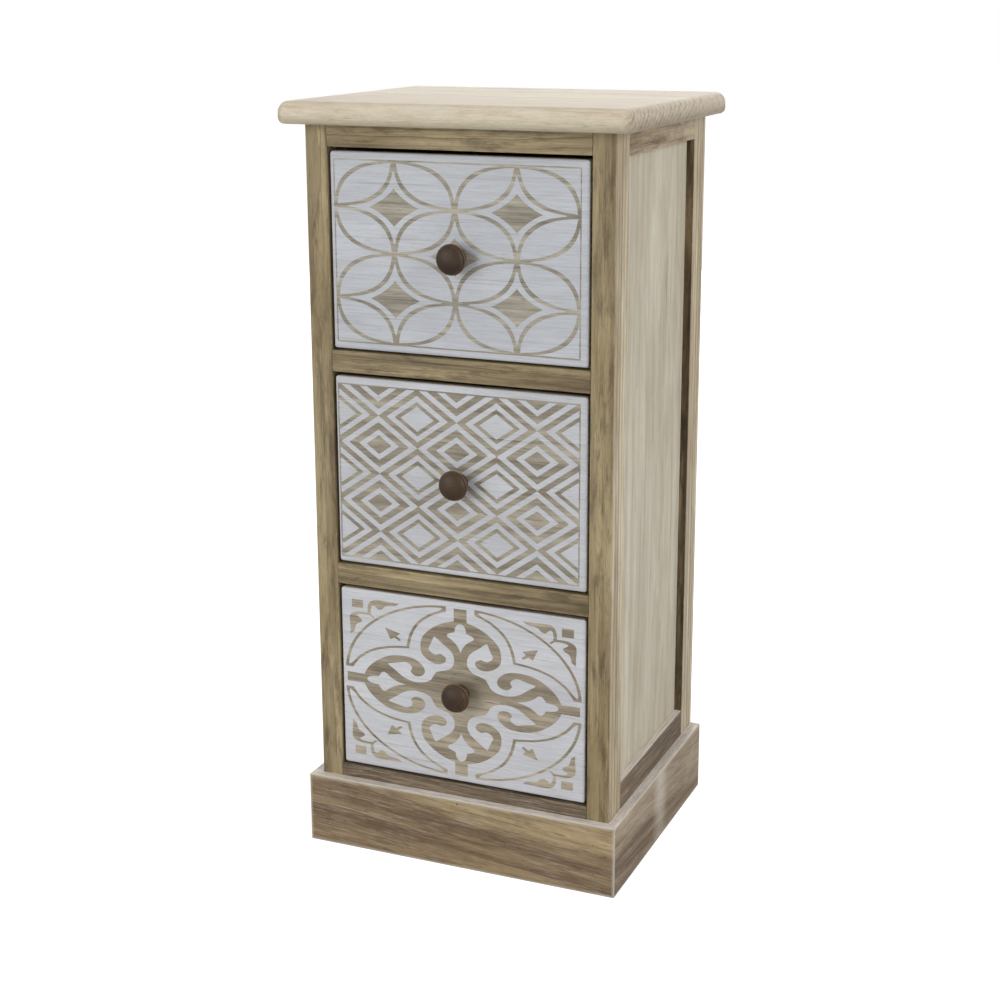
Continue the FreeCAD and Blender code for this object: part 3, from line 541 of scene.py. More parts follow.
# ---- Drawer runners ----------------------------------------------------------------------------
# Six plain strips of unstained wood, nailed to the inside of the posts, carry and guide the
# drawers.
levels = ("upper", "middle", "lower")
bare_wood = stained_wood("bare_wood", (226, 210, 180), (210, 190, 156), (176, 150, 112),
                         ring=6 * mm, rings=0.4, streaks=0.3, pores=0.4, worn=0.3,
                         rubbed=(232, 218, 192), rough=0.66)
for turn, level in enumerate(levels):
    for side in ("left", "right"):
        box_board(f"{level}_{side}_runner", "case", "inner_wood", [bare_wood],
                  (1, (12 * mm, -31 * mm), 50.0 + 1.7 * turn + 0.8 * (side == "left")),
                  arris=0.5 * mm, fade=1.2 * mm)

# ---- Plinth ------------------------------------------------------------------------------------
# Three boards stand 9 mm proud of the frame, mitred at the front corners and bradded to the posts.
# The dark rim of the heartwood crosses them, and their stain is rubbed pale along the upper arris.
plinth_look = dict(ring=8 * mm, wander=38 * mm, knots=0.3, pores=0.9, worn=0.9,
                   rubbed=(206, 198, 184))
plinth_stain = stained_wood("plinth_stain", (192, 170, 131), (170, 148, 112), (84, 65, 46),
                            rings=0.45, streaks=0.3, fibres=0.28, mottle=0.4, residue=0.34,
                            heart=67 * mm, heartwood=(120, 97, 74), **plinth_look)
smeared_stain = stained_wood("plinth_smeared_stain", (194, 178, 153), (168, 150, 125),
                             (98, 80, 64), rings=0.3, streaks=0.3, fibres=0.22, mottle=0.3,
                             residue=0.3, heart=52 * mm, heartwood=(118, 96, 77),
                             smear=(4 * mm, 24 * mm), **plinth_look)
low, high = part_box("plinth_front")
plinth_thick, plinth_end, fibres_climb = 9 * mm, 120.5 * mm, 0.08
inner = low[0] + plinth_thick
left_side = [(low[0], low[1]), (inner, high[1]), (inner, plinth_end), (low[0], plinth_end)]
right_side = [(high[0], low[1]), (high[0], plinth_end), (-inner, plinth_end), (-inner, high[1])]
front_side = [(low[0], low[1]), (high[0], low[1]), (-inner, high[1]), (inner, high[1])]
# The plinth's up-facing ledge takes the painted light.
for node, outline, stain, run, pith, shift in (
        ("plinth_front", front_side, plinth_stain, 0, (30 * mm, -36 * mm), 60.0),
        ("plinth_left", left_side, plinth_stain, 1, (-20 * mm, 44 * mm), 62.3),
        ("plinth_right", right_side, smeared_stain, 1, (-24 * mm, -40 * mm), 64.6)):
    skirt = sawn_board(f"{node}_board", outline, 2, low[2], high[2], [stain, rubbed_ledge],
                       (run, pith, shift, fibres_climb), arris=0.6 * mm, fade=2.2 * mm,
                       sides=(((0, 0, 1), 1),))
    stands_for(skirt, node, "case")

# ---- Back --------------------------------------------------------------------------------------
# A sheet of thin plywood in a rabbet of the rear posts, nailed to them and to the rear rails.
ply = stained_wood("plywood", (214, 190, 152), (196, 168, 128), (160, 128, 92), ring=11 * mm,
                   wander=80 * mm, rings=0.45, streaks=0.3, pores=0.35, worn=0.3,
                   rubbed=(224, 204, 172), rough=0.6)
box_board("back_panel", "case", "plywood", [ply], (2, (3 * mm, 60 * mm), 70.0), arris=0.3 * mm,
          fade=0.5 * mm)

# ---- Top board ---------------------------------------------------------------------------------
# Staves glued side by side, planed and sanded, with the corners and the upper and lower edges
# rounded over. It is screwed on from below and left nearly bare, so it is the palest wood.


def rounded_outline(low, high, radius, inset, arc=6):
    """The outline of a rectangle with round corners, drawn in by `inset`."""
    points = []
    left = max(radius - inset, 0.15 * mm)
    for corner, (sx, sy) in enumerate(((1, -1), (1, 1), (-1, 1), (-1, -1))):
        x, y = (high if sx > 0 else low)[0], (high if sy > 0 else low)[1]
        cx, cy = x - sx * (inset + left), y - sy * (inset + left)
        for i in range(arc + 1):
            a = math.radians(-90 + 90 * corner + 90 * i / arc)
            points.append((cx + left * math.cos(a), cy + left * math.sin(a)))
    return points


def joined_rings(rings):
    """A mesh of rings of points, one joined to the next. Each ring is its points and its value in
    the "edge" layer. Gives the rings' points and the bands of faces between them too."""
    bm = bmesh.new()
    edge = bm.loops.layers.float.new("edge")
    loops = [[bm.verts.new(co) for co in points] for points, _ in rings]
    bands = []
    for k in range(len(loops) - 1):
        band = []
        for i in range(len(loops[k])):
            j = (i + 1) % len(loops[k])
            face = bm.faces.new((loops[k][i], loops[k][j], loops[k + 1][j], loops[k + 1][i]))
            face.smooth = True
            for loop in face.loops:
                loop[edge] = rings[k if loop.vert in loops[k] else k + 1][1]
            band.append(face)
        bands.append(band)
    return bm, loops, bands


def eased_slab(name, low, high, radius, rings, materials, log, axis=2, painted=()):
    """A board with rounded edges, built of outlines one over the other. Each ring is its height,
    how far it is drawn in, and its value in the "edge" layer. The `painted` bands between rings
    take the second material."""
    outlines = []
    for height, inset, worn in rings:
        outline = rounded_outline(low, high, radius, inset)
        outlines.append(([(p, q, height) if axis == 2 else (p, height, q) for p, q in outline],
                         worn))
    bm, loops, bands = joined_rings(outlines)
    for k in painted:
        for face in bands[k]:
            face.material_index = 1
    bm.faces.new(loops[0])
    bm.faces.new(loops[-1])
    return finish_mesh(name, bm, materials, log)


def quarter_round(start, end, round_in, worn=1.0, count=6):
    """Rings of a rounded edge that goes from height `start` (full size) to `end` (drawn in)."""
    turns = [math.pi / 2 * i / count for i in range(count + 1)]
    return [(start + (end - start) * math.sin(a), round_in * (1 - math.cos(a)), worn)
            for a in turns]


# Staves of one width, each from another stretch of the log and of its own tone, with a glue line
# between them.
glued_staves, given, made = new_tree(
    "glued_staves", {"Grain": "Vector", "Stave width": 42 * mm},
    {"Grain": "Vector", "Stave tone": "Float", "Glue line": "Float"})
t = glued_staves
across = place(t, "ShaderNodeSeparateXYZ", {0: given["Grain"]}).outputs[1]
count = sums(t, "DIVIDE", across, given["Stave width"])
chance = place(t, "ShaderNodeTexWhiteNoise", {"W": sums(t, "FLOOR", count)},
               noise_dimensions="1D").outputs
jump = vector_sums(t, "MULTIPLY", chance["Color"], (0.4, 0.012, 0.006))
feed(t, made["Grain"], vector_sums(t, "ADD", given["Grain"], jump))
feed(t, made["Stave tone"], chance["Value"])
from_middle = sums(t, "ABSOLUTE", sums(t, "SUBTRACT", sums(t, "FRACT", count), 0.5))
feed(t, made["Glue line"], between(t, from_middle, 0.488, 0.499))

top_finish, tree = new_finish("top_finish")
log, edge, end = stored(tree, "grain", "Vector"), stored(tree, "edge"), stored(tree, "end")
staves = place(tree, "ShaderNodeGroup", {"Grain": log, "Stave width": 43 * mm},
               node_tree=glued_staves).outputs
masks, fine = figured(tree, staves["Grain"], 5 * mm, 15 * mm)
wear = place(tree, "ShaderNodeGroup", {"Edge": edge, "Grain": log, "Amount": 0.5},
             node_tree=worn_arris)
spot = spot_in_object(tree)
lower_edge = between(tree, spot[2], 625 * mm, 637 * mm, 0.5, 0.0)
end_rings = sums(tree, "MULTIPLY", end, between(tree, spot[1], -20 * mm, 90 * mm, 1.0, 0.15))
end_rings = sums(tree, "MULTIPLY", end_rings, sums(tree, "POWER", masks["Rings"], 0.6))
tone = stained(tree, paint(226, 216, 190), (staves["Stave tone"], 1.0, (202, 178, 152)),
               (masks["Clouds"], 0.45, (228, 220, 198)), (masks["Streaks"], 0.6, (200, 180, 152)),
               (masks["Mottle"], 0.35, (184, 170, 138)), (masks["Rings"], 0.6, (168, 136, 108)),
               (lower_edge, 1.0, (206, 197, 164)), (end, 0.45, (186, 156, 128)),
               (end_rings, 1.0, (108, 82, 58)), (staves["Glue line"], 0.5, (160, 132, 102)))
# The lowest rounding of the edges is darkened toward the bottom: painted shade under the board's
# edge.
tone = shaded(tree, tone, fine, 0.22, (masks["Pores"], 0.25), (masks["Cracks"], 0.25),
              (end, 0.16), (between(tree, spot[2], 623 * mm, 636 * mm, 1.0, 0.0), 0.24))
tone = stained(tree, tone, (wear, 0.35, (238, 230, 212)))
surfaced(tree, tone, between(tree, masks["Fibres"], 0.2, 0.8, 0.44, 0.56),
         sums(tree, "MULTIPLY_ADD", masks["Rings"], 0.6, fine), 0.25, specular=0.4)

low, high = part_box("top_board")
upper_round, lower_round, corner_round = 9 * mm, 5 * mm, 10 * mm
top_rings = [(low[2], 12 * mm, 0.0)]
top_rings += quarter_round(low[2] + lower_round, low[2], lower_round, 0.6)[::-1]
top_rings += quarter_round(high[2] - upper_round, high[2], upper_round) + [(high[2], 16 * mm, 0.0)]
top = eased_slab("top_board_planed", (low[0], low[1]), (high[0], high[1]), corner_round, top_rings,
                 [top_finish], (0, (120 * mm, -230 * mm), 80.0))
stands_for(top, "top_board", "case")

# ---- Drawer boxes ------------------------------------------------------------------------------
# Each drawer is a front, two sides and a back of thin unstained boards, nailed at the corners, with
# a plywood bottom that slides in grooves.
for turn, level in enumerate(levels):
    body = f"{level}_drawer"
    for part, run, pith in (("left_side", 1, (-8 * mm, 40 * mm)),
                            ("right_side", 1, (11 * mm, -42 * mm)),
                            ("back", 0, (28 * mm, 14 * mm))):
        box_board(f"{body}_{part}", body, "inner_wood", [bare_wood],
                  (run, pith, 90.0 + 4.1 * turn + run * 1.3), arris=0.6 * mm, fade=1.4 * mm)
    box_board(f"{body}_bottom", body, "plywood", [ply], (0, (50 * mm, 4 * mm), 110.0 + 3.3 * turn),
              arris=0.25 * mm, fade=0.4 * mm)

# ---- Drawer fronts -----------------------------------------------------------------------------
# A board of the same wood, its front edges rounded, brushed so that the grain stands out, and left
# bare on its edges. White paint is printed over it, and the pattern is the wood left showing.
front_ring, front_wander = 5.5 * mm, 24 * mm


def thin_paint(name, thick, thin):
    """White paint brushed thinly over the wood, whose rings, pores and cracks show through it.
    Where it is thin it looks a little greyer."""
    material, tree = new_finish(name)
    masks, fine = figured(tree, stored(tree, "grain", "Vector"), front_ring, front_wander)
    tone = stained(tree, paint(*thick), (masks["Clouds"], 1.0, thin),
                   (masks["Rings"], 0.25, (172, 168, 162)), (masks["Pores"], 0.25, (150, 144, 134)),
                   (masks["Cracks"], 0.24, (132, 124, 114)))
    surfaced(tree, shaded(tree, tone, fine, 0.16),
             between(tree, masks["Fibres"], 0.2, 0.8, 0.5, 0.64),
             sums(tree, "MULTIPLY_ADD", masks["Pores"], -1.0, fine), 0.4, 0.15 * mm, specular=0.35)
    return material


# For each front: its wood's three tones, its paint's two, and where in the log it was sawn. The
# paint is greyest on the upper front and whitest on the lower: painted shade under the top's
# overhang and painted light lower down.
front_looks = {
    "upper": (((190, 184, 168), (166, 159, 144), (104, 96, 82)),
              ((198, 201, 206), (188, 191, 197)), (0, (46 * mm, 9 * mm), 130.0)),
    "middle": (((188, 180, 162), (164, 156, 140), (98, 88, 72)),
               ((203, 205, 209), (192, 194, 198)), (0, (58 * mm, -30 * mm), 134.6)),
    "lower": (((194, 182, 160), (166, 155, 135), (92, 77, 58)),
              ((213, 214, 218), (202, 203, 208)), (0, (40 * mm, 26 * mm), 139.9))}
front_round, front_corner, painted_bands = 2.2 * mm, 2.4 * mm, range(5, 9)
white_washes = {}
for level, (tans, whites, sawn) in front_looks.items():
    tan_wood = stained_wood(f"{level}_tan_wood", *tans, ring=front_ring, wander=front_wander,
                            rings=0.55, streaks=0.5, pores=0.8, worn=0.2, rough=0.6, mottle=0.25)
    white_washes[level] = thin_paint(f"{level}_white_wash", *whites)
    low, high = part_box(f"{level}_drawer_front")
    rings = [(high[1], 6 * mm, 0.0), (high[1], 0.5 * mm, 0.5), (high[1] - 0.5 * mm, 0.0, 0.6)]
    rings += quarter_round(low[1] + front_round, low[1], front_round)
    front = eased_slab(f"{level}_front_board", (low[0], low[2]), (high[0], high[2]), front_corner,
                       rings, [tan_wood, white_washes[level]], sawn, axis=1, painted=painted_bands)
    stands_for(front, f"{level}_drawer_front", f"{level}_drawer")


def sheet_of_paint(name, level, bm):
    """A thin coat of paint over the front. The flat shape is drawn in x and y about the middle of
    the front, and here it is stood up, given its thickness and laid on the wood."""
    low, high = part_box(f"{level}_drawer_front")
    middle = (low[2] + high[2]) / 2
    under, over = low[1] + 0.1 * mm, low[1] - 0.12 * mm
    bmesh.ops.remove_doubles(bm, verts=bm.verts, dist=0.02 * mm)
    for vert in bm.verts:
        vert.co = (vert.co.x, under, middle + vert.co.y)
    grown = bmesh.ops.extrude_face_region(bm, geom=list(bm.faces))
    for item in grown["geom"]:
        if isinstance(item, bmesh.types.BMVert):
            item.co.y = over
    coat = finish_mesh(name, bm, [white_washes[level]])
    board = bpy.data.objects[f"{level}_front_board"].data
    into_log = Vector(board.attributes["grain"].data[0].vector) - board.vertices[0].co
    log = coat.data.attributes.new("grain", "FLOAT_VECTOR", "POINT")
    for point, vert in zip(log.data, coat.data.vertices):
        point.vector = vert.co + into_log
    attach(coat, f"{level}_drawer")


def plain_mesh(holder):
    """The evaluated mesh of an object, which is then removed."""
    bpy.context.view_layer.update()
    evaluated = holder.evaluated_get(bpy.context.evaluated_depsgraph_get())
    mesh = bpy.data.meshes.new_from_object(evaluated)
    bpy.data.objects.remove(holder)
    return mesh


def take_in(bm, mesh):
    bm.from_mesh(mesh)
    bpy.data.meshes.remove(mesh)


def flat_mesh(loops):
    """A flat shape: areas inside an odd number of the loops are filled."""
    curve = bpy.data.curves.new("drawn_shape", "CURVE")
    curve.dimensions, curve.fill_mode = "2D", "BOTH"
    for loop in loops:
        line = curve.splines.new("POLY")
        line.points.add(len(loop) - 1)
        for point, (x, y) in zip(line.points, loop):
            point.co = (x, y, 0.0, 1.0)
        line.use_cyclic_u = True
    mesh = plain_mesh(set_up("drawn_shape", curve))
    bpy.data.curves.remove(curve)
    return mesh


def grown_mesh(start, tree, values):
    """The plain mesh that a Geometry Nodes tree makes of a mesh. The tree's inputs are found by
    name and set by identifier."""
    holder = set_up(start.name, start)
    modifier = holder.modifiers.new(tree.name, "NODES")
    modifier.node_group = tree
    for item in tree.interface.items_tree:
        if item.item_type == "SOCKET" and item.in_out == "INPUT" and item.name in values:
            modifier[item.identifier] = values[item.name]
    mesh = plain_mesh(holder)
    bpy.data.meshes.remove(start)
    return mesh


def set_out(tree, points, one, finish, made, **how):
    """Ends a Geometry Nodes tree: one thing at every point, made real, in its finish."""
    spread = place(tree, "GeometryNodeInstanceOnPoints", {"Points": points, "Instance": one,
                                                          **how})
    real = place(tree, "GeometryNodeRealizeInstances", {"Geometry": spread})
    finished = place(tree, "GeometryNodeSetMaterial", {"Geometry": real, "Material": finish})
    feed(tree, made["Geometry"], finished)


# One drawn motif on a grid of columns and rows. Every other one may be turned over or left out.
repeated_motif, given, made = new_tree(
    "repeated_motif",
    {"Motif": "Object", "Columns": 4, "Rows": 4, "Across": 50 * mm, "Up": 40 * mm,
     "Turn every other": False, "Leave out every other": False, "Finish": "Material"},
    {"Geometry": "Geometry"}, "GeometryNodeTree")
t, columns, rows = repeated_motif, given["Columns"], given["Rows"]
grid = place(t, "GeometryNodeMeshGrid", {
    "Vertices X": columns, "Vertices Y": rows,
    "Size X": sums(t, "MULTIPLY", sums(t, "SUBTRACT", columns, 1.0), given["Across"]),
    "Size Y": sums(t, "MULTIPLY", sums(t, "SUBTRACT", rows, 1.0), given["Up"])})
index = t.nodes.new("GeometryNodeInputIndex")
column, row = sums(t, "FLOOR", sums(t, "DIVIDE", index, rows)), sums(t, "MODULO", index, rows)
odd = sums(t, "MODULO", sums(t, "ADD", column, row), 2.0)
turned = sums(t, "MULTIPLY", sums(t, "MULTIPLY", odd, given["Turn every other"]), 2.0)
size = place(t, "ShaderNodeCombineXYZ", {0: sums(t, "SUBTRACT", 1.0, turned), 1: 1.0, 2: 1.0})
kept = sums(t, "LESS_THAN", sums(t, "MULTIPLY", odd, given["Leave out every other"]), 0.5)
motif = place(t, "GeometryNodeObjectInfo", {"Object": given["Motif"]}).outputs["Geometry"]
set_out(t, grid, motif, given["Finish"], made, Selection=kept, Scale=size)


def repeat_motif(bm, finish, loops, columns, rows, across, up, centre, turn=False, skip=False):
    """Adds a motif to a mesh, repeated by the Geometry Nodes tree, about `centre`."""
    motif = set_up("motif", flat_mesh(loops))
    drawn = motif.data
    mesh = grown_mesh(bpy.data.meshes.new("repeated"), repeated_motif, {
        "Motif": motif, "Columns": columns, "Rows": rows, "Across": across, "Up": up,
        "Turn every other": turn, "Leave out every other": skip, "Finish": finish})
    for vert in mesh.vertices:
        vert.co.x += centre[0]
        vert.co.y += centre[1]
    take_in(bm, mesh)
    bpy.data.objects.remove(motif)
    bpy.data.meshes.remove(drawn)


# Half of the flat of a front of 222 x 160 mm, the tenth of half a front that the patterns are
# drawn in, and half the width of a bare line.
flat_half = 111 * mm - front_round, 80 * mm - front_round
tenth = 11.1 * mm, 8.0 * mm
line_half = 0.55 * mm
four_corners = ((1, 1), (1, -1), (-1, 1), (-1, -1))


def paint_border(bm, left, right, bottom, top):
    """Paint between the outline of the flat and a bare line along a rectangle."""
    outline = rectangle(-flat_half[0], flat_half[0], -flat_half[1], flat_half[1])
    line = rectangle(left, right + line_half, bottom - line_half, top + line_half)
    take_in(bm, flat_mesh([outline, line]))


# Upper front: circles that meet their neighbours at four points, with a concave star and a bare
# diamond between them, inside a thin bare frame line. It is drawn in units of one circle's radius.
lattice = 4.75 * tenth[0], 4.6 * tenth[1]
middle = (-0.15 * tenth[0], 0.0)
star_tip, cut_tip, hole_tip, hole_bow = 0.79, 0.76, 0.43, 1.16


def arc_turns(start, end, count):
    return [start + (end - start) * i / count for i in range(count + 1)]


def inner_reach(a):
    return 0.95 + 0.036 * math.sin(2 * a) ** 2


def outer_reach(a):
    return 1.0 + 0.068 * math.sin(2 * a) ** 2


def on_lattice(points):
    return [(x * lattice[0], y * lattice[1]) for x, y in points]


def all_round(quarter):
    """A closed shape from the line that bounds its first quarter."""
    shape = []
    for sx, sy, back in ((1, 1, False), (1, -1, True), (-1, -1, False), (-1, 1, True)):
        shape += [(sx * y, sy * x) if back else (sx * x, sy * y) for x, y in quarter]
    return shape


near_side = [(inner_reach(a) * math.cos(a) - 0.5, inner_reach(a) * math.sin(a) - 0.5)
             for a in arc_turns(0.04, math.pi / 2 - 0.04, 20)]
petal = near_side + [(-x, -y) for x, y in near_side[1:-1]]
quarter = [(0.0, star_tip)] + [
    (1 - outer_reach(a) * math.cos(a), 1 - outer_reach(a) * math.sin(a))
    for a in arc_turns(math.radians(14), math.radians(76), 16)]
quarter_hole = [(0.0, hole_tip)] + [(1 - hole_bow * math.cos(a), 1 - hole_bow * math.sin(a))
                                    for a in arc_turns(math.radians(31), math.radians(59), 8)]
bm = bmesh.new()
paint_coat = white_washes["upper"]
repeat_motif(bm, paint_coat, [on_lattice(petal)], 4, 4, *lattice, middle, turn=True)
repeat_motif(bm, paint_coat, [on_lattice(all_round(quarter)), on_lattice(all_round(quarter_hole))],
             3, 3, *lattice, middle, skip=True)
# The stars that the frame line cuts: in half at the edges, and to a quarter in the corners.
line_x, line_y = line_half / lattice[0], line_half / lattice[1]
bow = [(x, y) for x, y in quarter if y > line_y * 1.2]
half_star = [(-cut_tip, line_y)] + [(-x, y) for x, y in bow[:0:-1]] + bow + [(cut_tip, line_y)]
bow = [(x, y) for x, y in quarter if x > line_x * 1.2]
side_star = [(line_x, cut_tip)] + bow + [(star_tip, 0.0)] + [(x, -y) for x, y in bow[::-1]]
side_star += [(line_x, -cut_tip)]
corner = [(line_x, line_y), (cut_tip, line_y)]
corner += [(x, y) for x, y in quarter[::-1] if x > line_x and y > line_y] + [(line_x, cut_tip)]
for shape, ways, column, row in ((half_star, ((1, 1), (1, -1)), 0, 2),
                                 (side_star, ((1, 1), (-1, 1)), 2, 0),
                                 (corner, four_corners, 2, 2)):
    for sx, sy in ways:
        placed = on_lattice([(sx * (p - column), sy * (q - row)) for p, q in shape])
        take_in(bm, flat_mesh([[(x + middle[0], y + middle[1]) for x, y in placed]]))
paint_border(bm, middle[0] - 2 * lattice[0] - line_half, middle[0] + 2 * lattice[0],
             -9.22 * tenth[1], 9.22 * tenth[1])
sheet_of_paint("upper_circles_paint", "upper", bm)

# Middle front: two kinds of nested diamond in a chequer, inside a thin bare frame line.
half_cell = 3.157 * tenth[0], 3.087 * tenth[1]
cell = 2 * half_cell[0], 2 * half_cell[1]
middle = (-0.155 * tenth[0], 0.0)
left, right, bottom, top = -9.75 * tenth[0], 9.4 * tenth[0], -9.35 * tenth[1], 9.2 * tenth[1]


def diamonds(*reaches):
    """Diamonds one inside the other, each as a share of half a cell."""
    return [[(reach * half_cell[0], 0), (0, reach * half_cell[1]), (-reach * half_cell[0], 0),
             (0, -reach * half_cell[1])] for reach in reaches]


def keep_inside(bm, left, right, bottom, top):
    """Trims a flat mesh to a rectangle."""
    for spot, away in (((left, 0, 0), (-1, 0, 0)), ((right, 0, 0), (1, 0, 0)),
                       ((0, bottom, 0), (0, -1, 0)), ((0, top, 0), (0, 1, 0))):
        bmesh.ops.bisect_plane(bm, geom=list(bm.verts) + list(bm.edges) + list(bm.faces),
                               dist=0.001 * mm, plane_co=spot, plane_no=away, clear_outer=True)


bm = bmesh.new()
paint_coat = white_washes["middle"]
repeat_motif(bm, paint_coat, diamonds(0.425, 0.787, 0.58), 4, 3, *cell, middle)
repeat_motif(bm, paint_coat, diamonds(0.525, 0.325, 0.995, 0.78), 3, 4, *cell, middle)
keep_inside(bm, left + line_half, right - line_half, bottom + line_half, top - line_half)
paint_border(bm, max(left - line_half, -flat_half[0] + 0.05 * mm), right, bottom, top)
sheet_of_paint("middle_diamonds_paint", "middle", bm)

# Lower front: four lobes about the middle, each with a lily and two scrolls, and a leaf with an
# arrow and a corner ornament in each corner. One quarter is drawn and set four times.


def flowing(points, corners=(), count=5):
    """A smooth line through points, with a sharp turn at the numbered ones."""
    sharp = {0, len(points) - 1} | {c % len(points) for c in corners}
    line = []
    for i in range(len(points) - 1):
        p1, p2 = points[i], points[i + 1]
        p0 = points[i - 1] if i not in sharp else (2 * p1[0] - p2[0], 2 * p1[1] - p2[1])
        p3 = points[i + 2] if i + 1 not in sharp else (2 * p2[0] - p1[0], 2 * p2[1] - p1[1])
        for k in range(count):
            s = k / count
            line.append(tuple(0.5 * (2 * b + (c - a) * s + (2 * a - 5 * b + 4 * c - d) * s * s
                                     + (3 * b - a - 3 * c + d) * s ** 3)
                              for a, b, c, d in zip(p0, p1, p2, p3)))
    return line + [points[-1]]


def mirrored(line):
    """The same line on the other side of the diagonal, run backwards."""
    return [(b, a) for a, b in line[::-1]]


lobe = flowing([
    (0.52, 8.0), (1.05, 7.80), (1.47, 7.58), (2.01, 7.18), (2.45, 6.74), (2.82, 6.27),
    (3.12, 5.71), (3.24, 5.10), (3.27, 4.53), (3.18, 3.95), (2.92, 3.50), (2.51, 3.13),
    (2.05, 2.94), (1.67, 2.96), (1.35, 3.16), (1.18, 3.50), (1.25, 3.85), (1.62, 4.13),
    (2.02, 3.98), (2.29, 4.07), (2.51, 4.30), (2.60, 4.58), (2.47, 4.98), (2.33, 5.42),
    (2.22, 5.78), (2.14, 6.0), (1.90, 5.81), (1.59, 5.46), (1.23, 5.10), (0.93, 4.79),
    (0.68, 4.38), (0.53, 3.87), (0.55, 3.25), (0.74, 2.76), (1.07, 2.42), (1.50, 2.23),
    (2.0, 2.0)], corners=(17, 25))
field = [(0.0, 9.45), (0.52, 9.45)] + lobe + mirrored(lobe)[1:] + [(9.45, 0.52), (9.45, 0.0)]
lily = flowing([(0, 7.78), (0.27, 7.62), (0.43, 7.2), (0.47, 6.8), (0.80, 6.64), (1.07, 6.44),
                (1.03, 6.18), (0.75, 5.94), (0.46, 5.62), (0.18, 5.12), (0, 4.55)], corners=(3,))
leaf_centre, leaf_reach, half_stroke = 0.79, 8.67, 0.12


def leaf_arc(reach, start):
    """The outer edge of the leaf, from near one axis to near the other."""
    lean = math.asin((start - leaf_centre) / reach)
    return [(leaf_centre + reach * math.sin(a), leaf_centre + reach * math.cos(a))
            for a in arc_turns(lean, math.pi / 2 - lean, 40)]


def beside(line, away):
    """The line moved sideways."""
    moved = []
    for i, (a, b) in enumerate(line):
        before, after = line[max(i - 1, 0)], line[min(i + 1, len(line) - 1)]
        da, db = after[0] - before[0], after[1] - before[1]
        size = math.hypot(da, db)
        moved.append((a - db / size * away, b + da / size * away))
    return moved


leaf_back = flowing([(1.15, 9.08), (1.70, 8.81), (2.37, 8.39), (2.82, 7.97), (3.26, 7.49),
                     (3.63, 6.90), (3.92, 6.21), (4.11, 5.57), (4.26, 4.73), (4.31, 4.31)])
low_side = [p for p in beside(leaf_back, -half_stroke) if 1.2 < p[0] < p[1] - 0.1]
high_side = [p for p in beside(leaf_back, half_stroke) if 1.7 < p[0] < p[1] - 0.1]
leaf_outer = leaf_arc(leaf_reach + half_stroke, 1.15) + [(8.97, 1.15)]
leaf_outer += mirrored(low_side)[::-1] + [(4.19, 4.19)] + low_side[::-1] + [(1.15, 8.97)]
leaf_inner = [(1.42, 9.24)] + leaf_arc(leaf_reach - half_stroke, 1.6) + [(9.24, 1.42)]
leaf_inner += mirrored(high_side)[::-1] + [(4.43, 4.43)] + high_side[::-1]
arrow = [(6.17, 6.17), (4.92, 5.75), (5.22, 5.42), (4.86, 5.02), (5.02, 4.86), (5.42, 5.22),
         (5.75, 4.92)]
square = rectangle(8.0, 8.93, 8.0, 8.93)
ornament = flowing([
    (7.03, 7.15), (7.33, 7.45), (7.36, 7.9), (7.28, 8.35), (7.1, 8.53), (6.9, 8.3), (6.68, 8.1),
    (6.4, 8.22), (6.15, 8.55), (5.75, 8.7), (5.3, 8.78), (4.96, 9.09), (5.8, 9.1), (6.5, 9.14),
    (7.08, 9.09), (7.42, 8.82), (7.6, 8.3), (7.62, 7.7), (7.66, 7.66)], corners=(1, 4, 11))
ornament += mirrored(ornament)[1:]
wider, lower = 1.015 * tenth[0], 0.985 * tenth[1]
reach_a, reach_b = flat_half[0] / wider, flat_half[1] / lower
field += [(reach_a, 0.0), (reach_a, reach_b), (0.0, reach_b)]
quarter = bmesh.new()
for loops in ((field, leaf_outer, leaf_inner, arrow, square, ornament), (lily,), (mirrored(lily),)):
    take_in(quarter, flat_mesh([[(a * wider, b * lower) for a, b in loop] for loop in loops]))
drawn = bpy.data.meshes.new("quarter")
quarter.to_mesh(drawn)
quarter.free()
bm = bmesh.new()
for sx, sy in four_corners:
    start = len(bm.verts)
    bm.from_mesh(drawn)
    bm.verts.ensure_lookup_table()
    for vert in bm.verts[start:]:
        vert.co.x *= sx
        vert.co.y *= sy
bpy.data.meshes.remove(drawn)
sheet_of_paint("lower_lobes_paint", "lower", bm)

# ---- Knobs -------------------------------------------------------------------------------------
# A turned hardwood knob: a small foot on the front, a waisted neck and a flat domed head with a
# groove and a bead at its rim. It is stained dark, waxed, and held by a screw from inside.
knob_stain, tree = new_finish("knob_stain")
edge = stored(tree, "edge")
masks, fine = figured(tree, stored(tree, "grain", "Vector"), 2.5 * mm, 6 * mm)
tone = stained(tree, paint(48, 33, 21), (masks["Clouds"], 1.0, (73, 54, 36)),
               (masks["Mottle"], 0.5, (44, 32, 22)), (masks["Rings"], 0.6, (36, 26, 19)))
# The rim and bead are lightened, partly rubbed stain and partly painted highlight, and the groove
# under the rim is darkened with painted shade.
for strength, stain in ((0.5, (128, 100, 72)), (-1.0, (24, 17, 12))):
    rubbed = sums(tree, "MULTIPLY", edge, strength, clamp=True)
    tone = stained(tree, tone, (rubbed, 1.0, stain))
surfaced(tree, tone, between(tree, masks["Fibres"], 0.2, 0.8, 0.44, 0.6), fine, 0.25, 0.08 * mm,
         specular=0.3)
